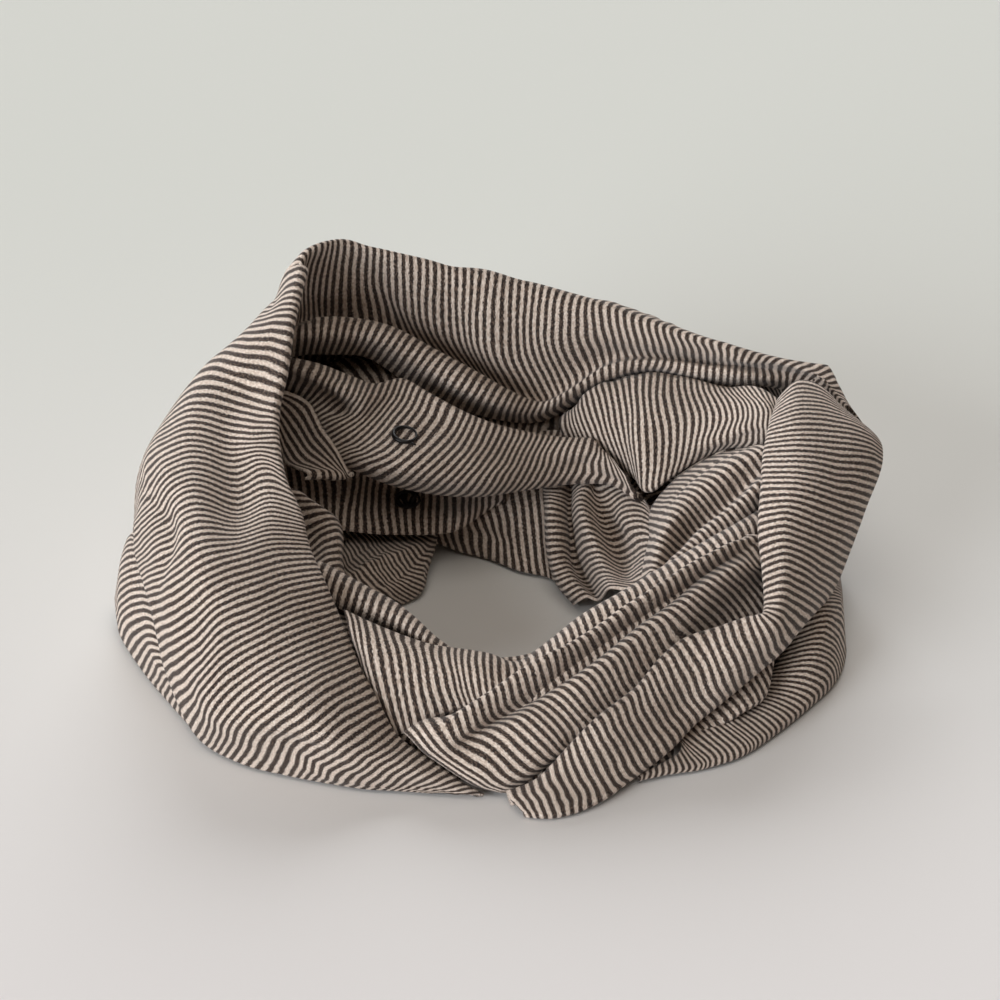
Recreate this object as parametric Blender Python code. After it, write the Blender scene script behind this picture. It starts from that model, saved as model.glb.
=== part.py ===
"""Infinity scarf of striped jersey, wound twice and dropped on a flat surface.

Each stretch of the scarf that shows is its own wall of cloth.  A stretch is given by a short table:
one row for each section, which follows a stripe across the band, and one point for each named
station along it, as (x, y, z) in millimetres.  A smooth surface runs through the rows.  Stretches
are laid from the top of the heap downwards, each one drawn in under those already there.  The
layers that nothing shows share one rounded solid ring, flat where it rests.

X runs to the right, Y to the back and Z up; the origin is on the surface below the middle.
"""
import math

import bpy
import numpy as np
from mathutils import Vector
from mathutils.bvhtree import BVHTree

MM = 0.001
CLOTH = 1.2            # thickness of the wall of cloth
GAP = 0.3              # clear space kept between two pieces
LAY = 1.3              # an upper stretch and the one below it: from mid wall to face
REACH = 9.0            # a stretch further out than this above another is left where it is
NESTLED = 0.6          # nearest face of the cloth above a stretch
NESTLE_REACH = 4.0     # a stretch further off than this is left where it is
REST = 0.9             # mid wall height of a foot that lies on the surface
EASE_ROUNDS = 80
SETTLE_ROUNDS = 40
SEAM = 1.0             # gap where the left panel is sewn to the back
TURN_STEPS = 3         # facets round a turned edge
CELL_ALONG = 12.5      # facet length along the loop
CELL_ACROSS = 8.0      # facet length across the band

HEAP_CENTRE = (4.7, 7.7, 0)  # middle of the heap's footprint, from the middle of the neck opening

SNAP_OUTER = 11.6      # ring snap: outer diameter
SNAP_WIRE = 1.7        # ring snap: width of the metal ring, seen from above
SNAP_HEIGHT = 1.1      # ring snap: how far it stands up
SNAP_SIDES = 20

CORE_AROUND = 48       # hidden ring: facets around the neck opening
CORE_SIDES = 16        # hidden ring: facets around its own section
CORE_WIDE = 41.0       # hidden ring: widest half section, sideways
CORE_HIGH = 58.0       # hidden ring: widest half section, upwards
CORE_EVEN = 4.0        # hidden ring: most that neighbouring points differ by
CORE_THIN = 3.0        # hidden ring: thinnest half section
CORE_CLEAR = 1.0       # hidden ring: clear space under the cloth, along a ray
CORE_STEP = 0.5        # hidden ring: drawn in by this while it touches cloth

# Middle line of the wound ring: angle from +X in degrees, radius, height
RING_MIDDLE = [
    (0, 120, 24), (45, 118, 34), (90, 108, 42), (135, 108, 48), (180, 108, 38),
    (225, 98, 16), (270, 96, 7), (315, 100, 8), (335, 115, 14), (360, 120, 24),
]

# Middle line of the hidden ring: angle, radius, height
CORE_LINE = [
    (0, 118, 24), (45, 118, 26), (90, 106, 26), (135, 108, 26), (180, 108, 26), (225, 96, 20),
    (255, 84, 13), (300, 82, 14), (330, 92, 14), (360, 118, 24),
]

# Outer side of the back, which falls from the rim to the surface: angle, foot radius, belly radius
BACK_OUTSIDE = [
    (0, 156, 161), (45, 158, 163), (70, 148, 146), (90, 142, 136), (115, 150, 143),
    (130, 158, 150), (150, 158, 152), (180, 153, 152),
]

# Back of the heap, right to left.  The inner face drops from the rim to a crease, rolls forward
# and hangs free.
# lip, roll, brow, crease, mid, rim
BACK_WRAP = [
    [(147,50,66), (148,49,69), (149,49,72), (151,48,75), (153,46,78), (156,44,80)],
    [(143,60,66), (144,59,70), (145,59,74), (147,58,77), (149,56,82), (150,54,84)],
    [(133,80,68), (134,77,73), (134,75,78), (136,77,80), (138,74,84), (142,72,96)],
    [(124,87,69), (123,80,74), (122,76,79), (122,83,80), (121,76,86), (121,76,94)],
    [(108,86,69), (108,78,76), (108,75,82), (109,83,81), (108,77,88), (109,78,93)],
    [(92,87,70), (93,80,78), (93,80,82), (94,91,77), (93,85,87), (91,84,94)],
    [(72,91,74), (72,86,79), (73,85,82), (74,96,77), (71,90,89), (69,92,98)],
    [(55,95,66), (53,85,76), (53,86,79), (55,101,73), (51,95,89), (49,98,102)],
    [(39,94,56), (36,84,65), (36,82,69), (38,98,62), (30,96,86), (32,101,106)],
    [(24,89,50), (22,82,58), (24,83,62), (25,93,57), (15,96,80), (15,104,110)],
    [(6,84,54), (8,74,67), (11,80,69), (12,96,58), (1,96,82), (2,105,113)],
    [(-13,85,60), (-8,73,76), (-4,81,78), (-2,104,62), (-14,101,84), (-15,105,117)],
    [(-32,90,68), (-26,80,84), (-22,85,87), (-21,109,69), (-31,105,92), (-32,106,121)],
    [(-51,90,82), (-45,81,96), (-42,89,97), (-42,111,80), (-46,109,106), (-46,106,125)],
    [(-66,89,84), (-63,83,97), (-62,94,98), (-63,113,84), (-62,106,110), (-60,106,129)],
    [(-77,89,84), (-75,83,97), (-75,93,98), (-76,109,86), (-74,101,113), (-70,97,132)],
    [(-84,87,84), (-83,83,97), (-83,91,98), (-80,104,87), (-78,98,113), (-75,93,131)],
    [(-88,84,85), (-88,82,96), (-88,87,97), (-84,97,88), (-80,92,111), (-78,88,128)],
]

# Broad outer panel on the left, from the peak round to the front.  It starts at the last section
# of the back.
# ridge, crown, dip, crest, flank, belly, foot
LEFT_WRAP = [
    [(-80,73,125), (-83,76,122), (-87,83,114), (-91,92,106), (-103,100,84), (-116,104,48), (-121,106,1)],
    [(-82,56,119), (-87,59,117), (-94,65,112), (-100,75,104), (-109,83,85), (-123,89,46), (-128,90,1)],
    [(-84,33,109), (-91,39,108), (-101,46,106), (-111,58,100), (-117,67,91), (-136,68,52), (-141,66,1)],
    [(-87,19,101), (-94,27,99), (-105,35,98), (-117,41,96), (-127,48,86), (-143,50,55), (-149,48,2)],
    [(-86,3,94), (-93,4,93), (-104,11,90), (-121,15,91), (-132,20,82), (-141,27,70), (-149,32,20)],
    [(-82,-13,87), (-88,-8,88), (-100,-9,83), (-118,-8,87), (-130,-8,79), (-138,-5,67), (-144,3,54)],
    [(-76,-26,81), (-86,-23,83), (-99,-24,78), (-116,-24,84), (-126,-22,75), (-135,-19,64), (-143,-11,50)],
    [(-71,-40,70), (-83,-46,74), (-96,-54,75), (-109,-60,74), (-118,-59,66), (-126,-55,58), (-135,-42,46)],
    [(-65,-53,63), (-77,-61,65), (-90,-70,65), (-103,-74,61), (-111,-74,52), (-120,-71,42), (-129,-58,27)],
    [(-57,-62,47), (-71,-76,50), (-86,-84,47), (-98,-87,39), (-108,-89,28), (-111,-86,17), (-115,-78,5)],
    [(-50,-75,36), (-60,-89,40), (-72,-100,38), (-81,-101,31), (-89,-99,22), (-93,-94,10), (-97,-92,2)],
    [(-43,-87,29), (-53,-99,31), (-62,-107,28), (-69,-104,20), (-73,-101,15), (-75,-101,8), (-78,-100,2)],
    [(-35,-96,18), (-41,-105,19), (-48,-109,17), (-53,-109,12), (-57,-108,9), (-59,-107,5), (-61,-105,2)],
    [(-22,-104,12), (-27,-109,12), (-32,-110,9), (-35,-110,6), (-37,-110,4), (-38,-110,3), (-39,-110,2)],
    [(-9,-110,5), (-13,-112,5), (-16,-111,4), (-18,-110,3), (-20,-111,3), (-22,-110,2), (-23,-110,2)],
    [(1,-115,3), (-2,-115,3), (-4,-115,3), (-6,-115,2), (-8,-115,2), (-10,-115,2), (-11,-115,2)],
]

# Outer panel on the right, from the back corner down to the front tip.
# ridge, upper, middle, outer, hem
RIGHT_WRAP = [
    [(123,48,86), (131,57,89), (140,57,87), (149,48,82), (158,43,76)],
    [(119,29,85), (128,28,89), (141,33,86), (154,35,81), (164,36,73)],
    [(116,14,81), (127,9,85), (141,12,82), (155,19,76), (165,30,66)],
    [(114,-5,76), (126,-11,80), (140,-8,74), (152,2,64), (158,15,54)],
    [(112,-24,69), (121,-26,73), (132,-24,67), (144,-14,55), (151,1,42)],
    [(113,-42,61), (120,-42,64), (128,-40,59), (137,-30,46), (143,-15,32)],
    [(113,-55,55), (118,-57,57), (124,-52,51), (131,-42,40), (133,-33,32)],
    [(112,-64,53), (115,-66,51), (118,-64,44), (121,-57,34), (120,-50,28)],
    [(105,-64,51), (107,-70,47), (110,-69,38), (113,-63,29), (111,-58,24)],
    [(93,-67,48), (96,-74,43), (100,-75,34), (102,-71,25), (103,-65,20)],
    [(81,-71,45), (86,-76,38), (90,-78,28), (94,-75,19), (93,-70,14)],
    [(71,-78,40), (74,-82,34), (79,-81,23), (84,-81,14), (83,-78,10)],
    [(61,-88,33), (63,-92,28), (68,-93,19), (73,-94,10), (72,-92,7)],
    [(45,-101,28), (48,-105,24), (52,-106,16), (56,-108,8), (58,-107,6)],
    [(32,-108,18), (33,-112,15), (35,-115,11), (38,-119,7), (39,-122,5)],
    [(20,-114,9), (21,-119,9), (23,-122,8), (24,-125,6), (25,-127,4)],
    [(9,-117,6), (10,-120,6), (11,-121,5), (13,-124,5), (15,-126,4)],
]

# Sheet over the front, from the front tip up to the right: a thin roll, a deep valley, a broad roll.
# edge, roll, slope, valley, crest, low, end
FRONT_SHEET = [
    [(-31,-97,20), (-28,-101,20), (-24,-104,17), (-20,-105,14), (-6,-111,7), (1,-112,4), (7,-115,3)],
    [(-23,-97,26), (-20,-104,26), (-16,-107,22), (-12,-107,17), (0,-112,11), (6,-114,7), (11,-115,4)],
    [(-11,-94,27), (-9,-99,32), (-7,-104,27), (-4,-100,22), (3,-105,22), (18,-112,11), (22,-110,8)],
    [(1,-89,32), (3,-94,38), (4,-96,31), (8,-93,25), (15,-101,30), (31,-107,17), (33,-101,14)],
    [(12,-84,38), (14,-89,44), (16,-90,36), (19,-88,29), (25,-95,35), (42,-102,22), (45,-91,18)],
    [(25,-79,44), (27,-84,50), (29,-83,41), (31,-81,33), (37,-91,42), (54,-92,27), (57,-79,22)],
    [(38,-73,49), (40,-78,55), (42,-74,45), (45,-71,38), (51,-83,48), (66,-82,32), (68,-75,26)],
    [(53,-63,54), (55,-68,60), (57,-65,51), (59,-59,43), (65,-70,53), (79,-67,36), (84,-61,28)],
    [(67,-52,57), (69,-57,63), (71,-55,56), (73,-50,49), (78,-61,57), (91,-53,39), (97,-51,30)],
    [(81,-41,61), (83,-46,66), (85,-45,61), (87,-40,55), (91,-50,61), (103,-42,43), (110,-45,32)],
    [(96,-31,63), (97,-36,68), (99,-34,63), (100,-31,59), (104,-40,63), (113,-31,46), (121,-36,36)],
    [(113,-13,67), (114,-22,69), (116,-19,64), (117,-15,60), (121,-26,65), (124,-19,49), (128,-26,40)],
]

# Pale panel between the left ridge and the front sheet; to the right it narrows to a thin roll.
# inner, crest, bend, slope, low
FRONT_TUCK = [
    [(-56,-55,50), (-54,-62,47), (-51,-67,39), (-47,-75,30), (-42,-84,20)],
    [(-49,-58,48), (-47,-66,46), (-45,-75,41), (-41,-83,29), (-36,-92,18)],
    [(-35,-64,45), (-34,-69,44), (-32,-76,42), (-30,-83,31), (-27,-92,19)],
    [(-21,-68,42), (-21,-73,42), (-20,-78,40), (-18,-84,32), (-15,-88,23)],
    [(-10,-68,40), (-10,-77,41), (-9,-81,39), (-7,-85,33), (-4,-87,26)],
    [(2,-70,39), (2,-79,42), (4,-85,42), (6,-87,35), (8,-86,29)],
    [(12,-71,36), (14,-79,44), (16,-84,45), (17,-86,38), (18,-85,31)],
    [(25,-63,40), (26,-74,50), (28,-78,51), (30,-80,43), (31,-78,35)],
    [(39,-52,45), (40,-64,55), (43,-69,56), (44,-71,48), (46,-69,39)],
    [(54,-44,50), (55,-55,60), (57,-60,61), (59,-62,53), (61,-60,44)],
    [(68,-34,54), (68,-46,64), (71,-52,65), (73,-53,57), (75,-50,49)],
    [(85,-22,58), (86,-34,67), (87,-40,68), (89,-40,60), (92,-37,52)],
    [(100,-12,61), (101,-24,69), (102,-30,70), (104,-29,62), (106,-25,54)],
    [(115,0,63), (116,-10,70), (116,-16,71), (118,-15,63), (120,-11,55)],
]

# Roll round the front of the neck opening, from the left wall to the right.
# foot, wall, contour, crest, crease
FRONT_ROLL = [
    [(-62,-18,2), (-62,-26,34), (-67,-31,57), (-68,-38,58), (-69,-42,50)],
    [(-54,-30,2), (-54,-32,30), (-56,-35,53), (-58,-45,54), (-60,-48,47)],
    [(-46,-36,2), (-46,-38,28), (-47,-38,49), (-49,-49,50), (-51,-49,43)],
    [(-37,-42,2), (-37,-43,26), (-37,-43,46), (-39,-53,47), (-41,-53,40)],
    [(-28,-49,2), (-28,-50,24), (-28,-52,44), (-30,-60,44), (-30,-59,39)],
    [(-19,-54,2), (-20,-55,22), (-20,-60,41), (-21,-66,42), (-21,-66,39)],
    [(-9,-57,2), (-10,-58,20), (-10,-66,38), (-11,-70,39), (-10,-70,37)],
    [(2,-58,2), (2,-59,20), (2,-68,36), (2,-72,37), (3,-71,35)],
    [(15,-56,2), (15,-57,20), (16,-64,34), (17,-70,34), (17,-74,30)],
    [(29,-50,2), (29,-52,22), (30,-58,36), (32,-63,38), (33,-67,34)],
    [(42,-42,2), (42,-44,24), (44,-49,40), (46,-53,42), (48,-57,38)],
    [(54,-32,2), (54,-34,26), (57,-38,44), (59,-42,47), (61,-46,43)],
]

# Small pointed flap on the inner left; its stripes run along it, so a row is a long line.
# root, neck, upper, middle, lower, tip
SMALL_FLAP = [
    [(-92,58,86), (-83,61,81), (-75,62,76), (-69,52,70), (-62,38,67), (-57,30,61)],
    [(-92,60,82), (-85,62,77), (-78,60,71), (-72,50,65), (-65,38,64), (-59,31,60)],
    [(-91,58,79), (-88,60,73), (-82,58,65), (-75,47,60), (-68,36,61), (-63,30,61)],
    [(-92,57,75), (-89,58,68), (-85,54,60), (-80,43,58), (-74,35,60), (-69,31,61)],
    [(-92,55,69), (-89,52,64), (-86,49,58), (-84,42,58), (-79,33,61), (-75,29,62)],
]

# Flap across the back that carries the upper snap.
# top, roll, under, middle, lower, edge
SNAP_FLAP = [
    [(-94,74,94), (-96,64,94), (-97,71,86), (-99,73,78), (-102,71,72), (-104,68,68)],
    [(-83,72,92), (-83,63,93), (-84,70,85), (-86,71,78), (-89,73,71), (-93,70,66)],
    [(-69,69,90), (-70,58,91), (-73,65,82), (-77,69,74), (-82,73,67), (-87,70,63)],
    [(-56,66,86), (-58,52,87), (-62,60,77), (-68,58,73), (-75,67,63), (-82,65,59)],
    [(-46,66,82), (-49,53,83), (-54,49,77), (-62,48,72), (-70,56,62), (-77,61,54)],
    [(-35,71,81), (-38,62,78), (-44,53,74), (-52,42,71), (-59,40,67), (-70,49,57)],
    [(-24,64,78), (-27,57,74), (-34,43,72), (-41,32,70), (-51,32,66), (-59,38,60)],
    [(-12,58,74), (-15,51,70), (-22,37,69), (-31,26,67), (-37,27,61), (-42,36,53)],
    [(1,57,68), (-2,49,64), (-8,36,63), (-15,29,59), (-20,32,52), (-24,40,45)],
    [(15,60,61), (12,54,57), (7,40,56), (3,36,52), (0,38,46), (-2,45,40)],
    [(31,65,55), (28,60,52), (26,53,49), (23,50,45), (20,50,41), (19,55,37)],
    [(47,66,54), (46,61,52), (44,62,45), (43,59,42), (41,59,39), (41,60,37)],
    [(57,60,53), (58,57,51), (57,56,47), (57,56,43), (56,55,41), (55,56,39)],
    [(63,49,46), (64,46,46), (64,46,44), (64,44,43), (65,44,42), (65,43,41)],
]

# Pouch that hangs in the right back corner.
# top, upper, middle, low, tip
POUCH = [
    [(30,86,60), (31,85,57), (32,81,53), (34,78,48), (36,76,42)],
    [(43,83,68), (44,79,64), (46,73,60), (49,68,54), (53,65,46)],
    [(54,86,74), (56,79,70), (57,69,65), (59,60,58), (64,52,44)],
    [(65,86,79), (65,76,73), (66,63,69), (66,51,61), (67,43,45)],
    [(76,85,78), (74,72,74), (74,61,70), (74,52,62), (72,41,48)],
    [(90,78,77), (90,68,74), (90,59,71), (87,52,63), (82,46,52)],
    [(102,70,78), (105,58,78), (103,52,73), (97,49,66), (93,51,56)],
    [(113,61,84), (117,45,83), (113,43,78), (108,44,71), (103,50,61)],
    [(124,50,87), (124,41,84), (121,37,80), (119,38,75), (117,42,66)],
]

# Roll just inside the left ridge.
# root, hollow, rise, crest, edge
INNER_LEFT_ROLL = [
    [(-95,13,70), (-87,10,70), (-82,11,68), (-79,13,64), (-77,19,58)],
    [(-93,6,64), (-85,12,60), (-78,10,63), (-73,10,60), (-71,18,52)],
    [(-90,0,58), (-81,12,50), (-73,12,56), (-67,9,57), (-64,16,49)],
    [(-87,-7,52), (-77,6,44), (-70,7,50), (-64,6,53), (-61,13,45)],
    [(-83,-16,49), (-73,-5,43), (-67,-2,47), (-62,-2,49), (-60,7,41)],
    [(-79,-25,46), (-70,-15,44), (-65,-13,47), (-61,-10,46), (-60,0,37)],
    [(-75,-32,44), (-69,-28,44), (-66,-27,45), (-62,-20,43), (-59,-9,34)],
]

# Band behind the snap flap that carries the lower snap, with a free hem.
# top, upper, lower, hem
SNAP_BAND = [
    [(-95,57,60), (-93,54,48), (-91,50,38), (-88,48,28)],
    [(-79,60,56), (-78,55,46), (-77,46,38), (-75,39,30)],
    [(-68,62,52), (-68,57,43), (-67,47,36), (-67,40,27)],
    [(-57,66,47), (-57,60,38), (-58,48,33), (-59,40,25)],
    [(-46,68,42), (-48,62,33), (-48,51,29), (-47,42,22)],
    [(-35,69,38), (-36,63,31), (-36,51,28), (-35,43,21)],
    [(-24,67,36), (-24,61,30), (-24,50,28), (-24,43,21)],
    [(-12,67,34), (-11,60,29), (-11,49,28), (-12,42,24)],
    [(-1,66,34), (0,61,30), (0,57,27), (-1,55,24)],
    [(10,65,34), (9,62,31), (9,60,29), (8,58,28)],
]

# Bunched cloth at the left of the neck opening.
# root, left, fold, slope, edge
INNER_BUNCH = [
    [(-29,66,9), (-28,62,10), (-25,58,11), (-23,56,12), (-21,60,9)],
    [(-38,64,10), (-34,57,11), (-30,47,14), (-26,43,13), (-23,49,8)],
    [(-47,63,10), (-42,53,12), (-36,39,16), (-30,34,13), (-25,38,6)],
    [(-56,60,12), (-50,47,14), (-44,25,20), (-36,19,15), (-27,26,4)],
    [(-60,42,16), (-55,24,20), (-48,10,22), (-41,12,13), (-34,20,2)],
    [(-61,17,24), (-56,2,26), (-51,-1,22), (-46,7,12), (-41,16,2)],
]

# Two ridges that run down from the right panel towards the neck opening.
# left, first, valley, second, right
RIGHT_INNER_ROLL = [
    [(64,-21,36), (67,-30,46), (69,-27,40), (71,-35,48), (75,-37,45)],
    [(66,-6,40), (70,-21,51), (73,-16,44), (75,-28,54), (79,-29,50)],
    [(69,13,40), (72,-13,54), (79,-6,44), (81,-22,56), (86,-21,50)],
    [(70,30,42), (79,1,58), (86,5,46), (89,-14,60), (94,-17,54)],
    [(76,39,46), (88,10,63), (96,10,52), (99,-6,64), (104,-8,57)],
    [(85,44,52), (98,14,69), (105,16,58), (108,-1,70), (112,1,61)],
    [(97,47,58), (108,19,74), (113,18,67), (115,4,76), (120,8,66)],
    [(109,47,62), (118,22,78), (122,21,72), (123,10,79), (128,14,70)],
]

# Three hanging folds at the right of the neck opening.
# left, fold_1, fold_1_right, gap_1, fold_2, gap_2, fold_3, hollow, right
INNER_RIGHT_FOLDS = [
    [(25,67,32), (28,62,34), (32,63,34), (37,67,30), (41,63,35),
     (48,62,34), (53,55,39), (61,54,36), (70,38,40)],
    [(26,59,26), (28,51,31), (32,52,29), (36,59,22), (41,47,35),
     (50,50,27), (56,37,41), (65,36,39), (73,24,40)],
    [(26,51,18), (28,39,25), (32,39,25), (37,50,16), (43,32,33),
     (54,40,22), (61,22,42), (68,20,39), (72,8,38)],
    [(27,43,10), (29,27,20), (33,30,19), (38,38,10), (47,19,29),
     (57,21,22), (65,5,42), (70,0,42), (73,-8,40)],
    [(30,35,3), (32,19,14), (36,20,15), (42,25,8), (50,4,28),
     (59,0,28), (65,-9,43), (69,-14,44), (73,-18,43)],
    [(38,18,2), (40,8,11), (43,8,13), (47,7,12), (52,-12,31),
     (59,-19,36), (65,-24,46), (70,-27,47), (73,-29,46)],
]

# Band at the back of the neck opening.
# top, upper, lower, foot
INNER_BACK_BAND = [
    [(-29,68,30), (-26,58,22), (-24,56,10), (-21,55,2)],
    [(-16,67,30), (-13,57,22), (-11,56,10), (-9,57,2)],
    [(-3,66,30), (-1,58,23), (2,53,12), (3,52,2)],
    [(9,67,31), (11,59,25), (13,51,11), (15,43,2)],
    [(20,68,34), (22,60,26), (24,49,11), (26,39,2)],
    [(30,69,33), (31,62,22), (31,49,8), (31,35,2)],
]

# Layer that comes out below the left panel.
# top, edge, belly, foot
LEFT_UNDER = [
    [(-128,50,46), (-142,50,34), (-148,50,18), (-148,50,2)],
    [(-134,30,48), (-147,30,36), (-152,28,18), (-152,28,2)],
    [(-135,-31,58), (-146,5,46), (-152,22,26), (-156,8,2)],
    [(-128,-41,50), (-140,-14,44), (-151,-1,30), (-157,17,4)],
    [(-127,-51,40), (-137,-35,36), (-148,-18,20), (-153,-2,2)],
    [(-122,-65,30), (-133,-50,26), (-138,-38,12), (-141,-29,2)],
    [(-115,-78,20), (-121,-67,16), (-125,-59,8), (-126,-55,2)],
    [(-105,-92,12), (-110,-82,9), (-112,-79,5), (-113,-76,2)],
]

# Layer between the right panel and the one on the surface.
# top, upper, lower, edge
RIGHT_FOLD = [
    [(115,-45,30), (116,-47,27), (117,-49,24), (117,-50,22)],
    [(106,-54,26), (110,-58,19), (113,-63,14), (112,-62,11)],
    [(99,-61,22), (103,-65,16), (106,-70,13), (105,-69,11)],
    [(90,-69,17), (94,-73,12), (96,-77,9), (95,-76,7)],
    [(81,-76,13), (84,-80,9), (87,-84,7), (86,-83,5)],
]

# Lowest layer on the right, on the surface.
# top, upper, belly, foot
RIGHT_UNDER = [
    [(136,58,30), (146,60,26), (151,61,12), (150,60,2)],
    [(137,28,32), (146,28,26), (150,28,12), (148,28,2)],
    [(131,-24,30), (141,-21,30), (148,-9,21), (150,1,2)],
    [(126,-34,22), (139,-33,26), (146,-25,13), (149,-21,2)],
    [(118,-44,14), (133,-46,19), (142,-40,9), (143,-39,2)],
    [(112,-52,9), (124,-56,10), (131,-57,6), (131,-56,2)],
    [(104,-62,7), (112,-69,7), (117,-73,5), (117,-73,2)],
    [(95,-74,6), (101,-84,5), (102,-87,4), (101,-89,2)],
    [(82,-86,5), (85,-93,4), (86,-95,3), (85,-97,2)],
    [(70,-96,4), (70,-100,4), (70,-101,3), (68,-101,2)],
    [(60,-102,3), (59,-103,3), (58,-105,2), (58,-106,2)],
]

# Stretches from the top of the heap down: name, sections, turned first edge, turned last edge, the
# stretches that it is drawn in under.
# A turned edge is (radius of the turn, length that lies back below).
STRETCHES = [
    ("right_wrap", RIGHT_WRAP, (2.4, 8), (1.6, 5), ()),
    ("back_wrap", BACK_WRAP, (2.6, 8), None, ()),
    ("left_wrap", LEFT_WRAP, (2.0, 8), None, ()),
    ("front_sheet", FRONT_SHEET, (1.8, 4), (1.6, 4), ("right_wrap",)),
    ("front_tuck", FRONT_TUCK, None, None, ("left_wrap",)),
    ("front_roll", FRONT_ROLL, None, None, ("left_wrap", "front_tuck")),
    ("small_flap", SMALL_FLAP, None, (1.6, 4), ("back_wrap", "left_wrap")),
    ("snap_flap", SNAP_FLAP, (2.2, 6), (1.6, 5), ("back_wrap", "left_wrap", "small_flap")),
    ("pouch", POUCH, None, (1.8, 5), ("back_wrap", "right_wrap")),
    ("inner_left_roll", INNER_LEFT_ROLL, None, None, ("left_wrap",)),
    ("snap_band", SNAP_BAND, None, None, ("left_wrap", "small_flap", "snap_flap")),
    ("inner_bunch", INNER_BUNCH, None, None, ("inner_left_roll", "front_roll")),
    ("right_inner_roll", RIGHT_INNER_ROLL, None, None,
     ("right_wrap", "front_sheet", "front_tuck", "pouch")),
    ("inner_right_folds", INNER_RIGHT_FOLDS, None, None,
     ("snap_flap", "front_tuck", "right_inner_roll", "pouch")),
    ("inner_back_band", INNER_BACK_BAND, None, None, ("snap_band", "inner_right_folds", "snap_flap")),
    ("left_under", LEFT_UNDER, None, None, ("left_wrap",)),
    ("right_fold", RIGHT_FOLD, None, None, ("right_wrap",)),
    ("right_under", RIGHT_UNDER, None, None, ("right_wrap", "right_fold")),
]

# Snaps: name, the stretch that carries it, the place it is nearest to
SNAPS = [
    ("snap_upper", "snap_flap", (-33, 39, 78)),
    ("snap_lower", "snap_band", (-33, 55, 33)),
]

STRIPED_JERSEY = (0.36, 0.30, 0.26, 1.0)
BLACK_METAL = (0.012, 0.012, 0.014, 1.0)


def unit(v):
    return v / np.maximum(np.linalg.norm(v, axis=-1, keepdims=True), 1e-9)


def spline(points, counts):
    """Smooth curve through points along the first axis, with counts[k] steps in span k."""
    before = 2 * points[0] - points[1]
    after = 2 * points[-1] - points[-2]
    p = np.concatenate([before[None], points, after[None]])
    gap = np.sqrt(np.maximum(np.linalg.norm(np.diff(p, axis=0), axis=-1, keepdims=True), 1e-3))
    out = []
    for k, steps in enumerate(counts):
        p0, p1, p2, p3 = p[k:k + 4]
        d0, d1, d2 = gap[k:k + 3]
        leave = d1 * ((p1 - p0) / d0 - (p2 - p0) / (d0 + d1) + (p2 - p1) / d1)
        arrive = d1 * ((p2 - p1) / d1 - (p3 - p1) / (d1 + d2) + (p3 - p2) / d2)
        for i in range(steps):
            t = i / steps
            out.append((2 * t**3 - 3 * t**2 + 1) * p1 + (t**3 - 2 * t**2 + t) * leave
                       + (3 * t**2 - 2 * t**3) * p2 + (t**3 - t**2) * arrive)
    out.append(points[-1])
    return np.array(out)


def steps_for(points, cell):
    """Steps in each span along the first axis, so that a step is about one cell long."""
    spans = np.linalg.norm(np.diff(points, axis=0), axis=-1).mean(axis=1)
    return [max(1, round(span / cell)) for span in spans]


def on_line(p, line):
    """Point, at the same angle, of a line that runs round the heap."""
    angle = np.degrees(np.arctan2(p[..., 1], p[..., 0])) % 360
    table = np.array(line)
    radius = np.interp(angle, table[:, 0], table[:, 1])
    height = np.interp(angle, table[:, 0], table[:, 2])
    angle = np.radians(angle)
    return np.stack([radius * np.cos(angle), radius * np.sin(angle), height], axis=-1)


def ring_middle(p):
    return on_line(p, RING_MIDDLE)


def facing(grid):
    """Normals of a grid of points, out of the heap, and +1 or -1 for the way its cells wind."""
    normals = unit(np.cross(np.gradient(grid, axis=0), np.gradient(grid, axis=1)))
    outward = unit(grid - ring_middle(grid))
    side = 1 if (normals * outward).sum() > 0 else -1
    return normals * side, side


def turn_under(grid, side, radius, tail):
    """Add columns before the first one: the cloth rolls over and lies back below itself."""
    normals = unit(np.cross(np.gradient(grid, axis=0), np.gradient(grid, axis=1))) * side
    edge = grid[:, 0]
    back = unit(grid[:, 1] - edge)
    added = []
    for k in range(1, TURN_STEPS + 1):
        a = math.pi * k / TURN_STEPS
        added.append(edge - normals[:, 0] * radius * (1 - math.cos(a)) - back * radius * math.sin(a))
    below = grid - normals * 2 * radius
    run = np.linalg.norm(np.diff(grid, axis=1), axis=-1).mean(axis=0).cumsum()
    for k in range(1, grid.shape[1] - 1):
        if run[k - 1] > tail:
            break
        added.append(below[:, k])
    return np.concatenate([np.stack(added[::-1], axis=1), grid], axis=1)


def sheet_grid(sections, first, last):
    """Grid of points through the sections, with its turned edges, and the way its cells wind."""
    table = np.array(sections, float)
    stations = np.swapaxes(table, 0, 1)
    across = np.swapaxes(spline(stations, steps_for(stations, CELL_ACROSS)), 0, 1)
    grid = spline(across, steps_for(across, CELL_ALONG))
    side = facing(grid)[1]
    if first:
        grid = turn_under(grid, side, *first)
    if last:
        grid = turn_under(grid[:, ::-1], -side, *last)[:, ::-1]
    grid[..., 2] = np.maximum(grid[..., 2], REST)
    return grid, side


def around(field):
    """Mean of each point of a grid and its neighbours."""
    pad = np.pad(field, ((1, 1), (1, 1), (0, 0)), mode="edge")
    rows, cols = field.shape[:2]
    return sum(pad[a:a + rows, b:b + cols] for a in range(3) for b in range(3)) / 9


def spread(drop):
    """Soften a field of small shifts, so that none gets smaller."""
    wide = drop
    for _ in range(2):
        wide = np.maximum(drop, around(wide[..., None])[..., 0])
    return wide


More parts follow.
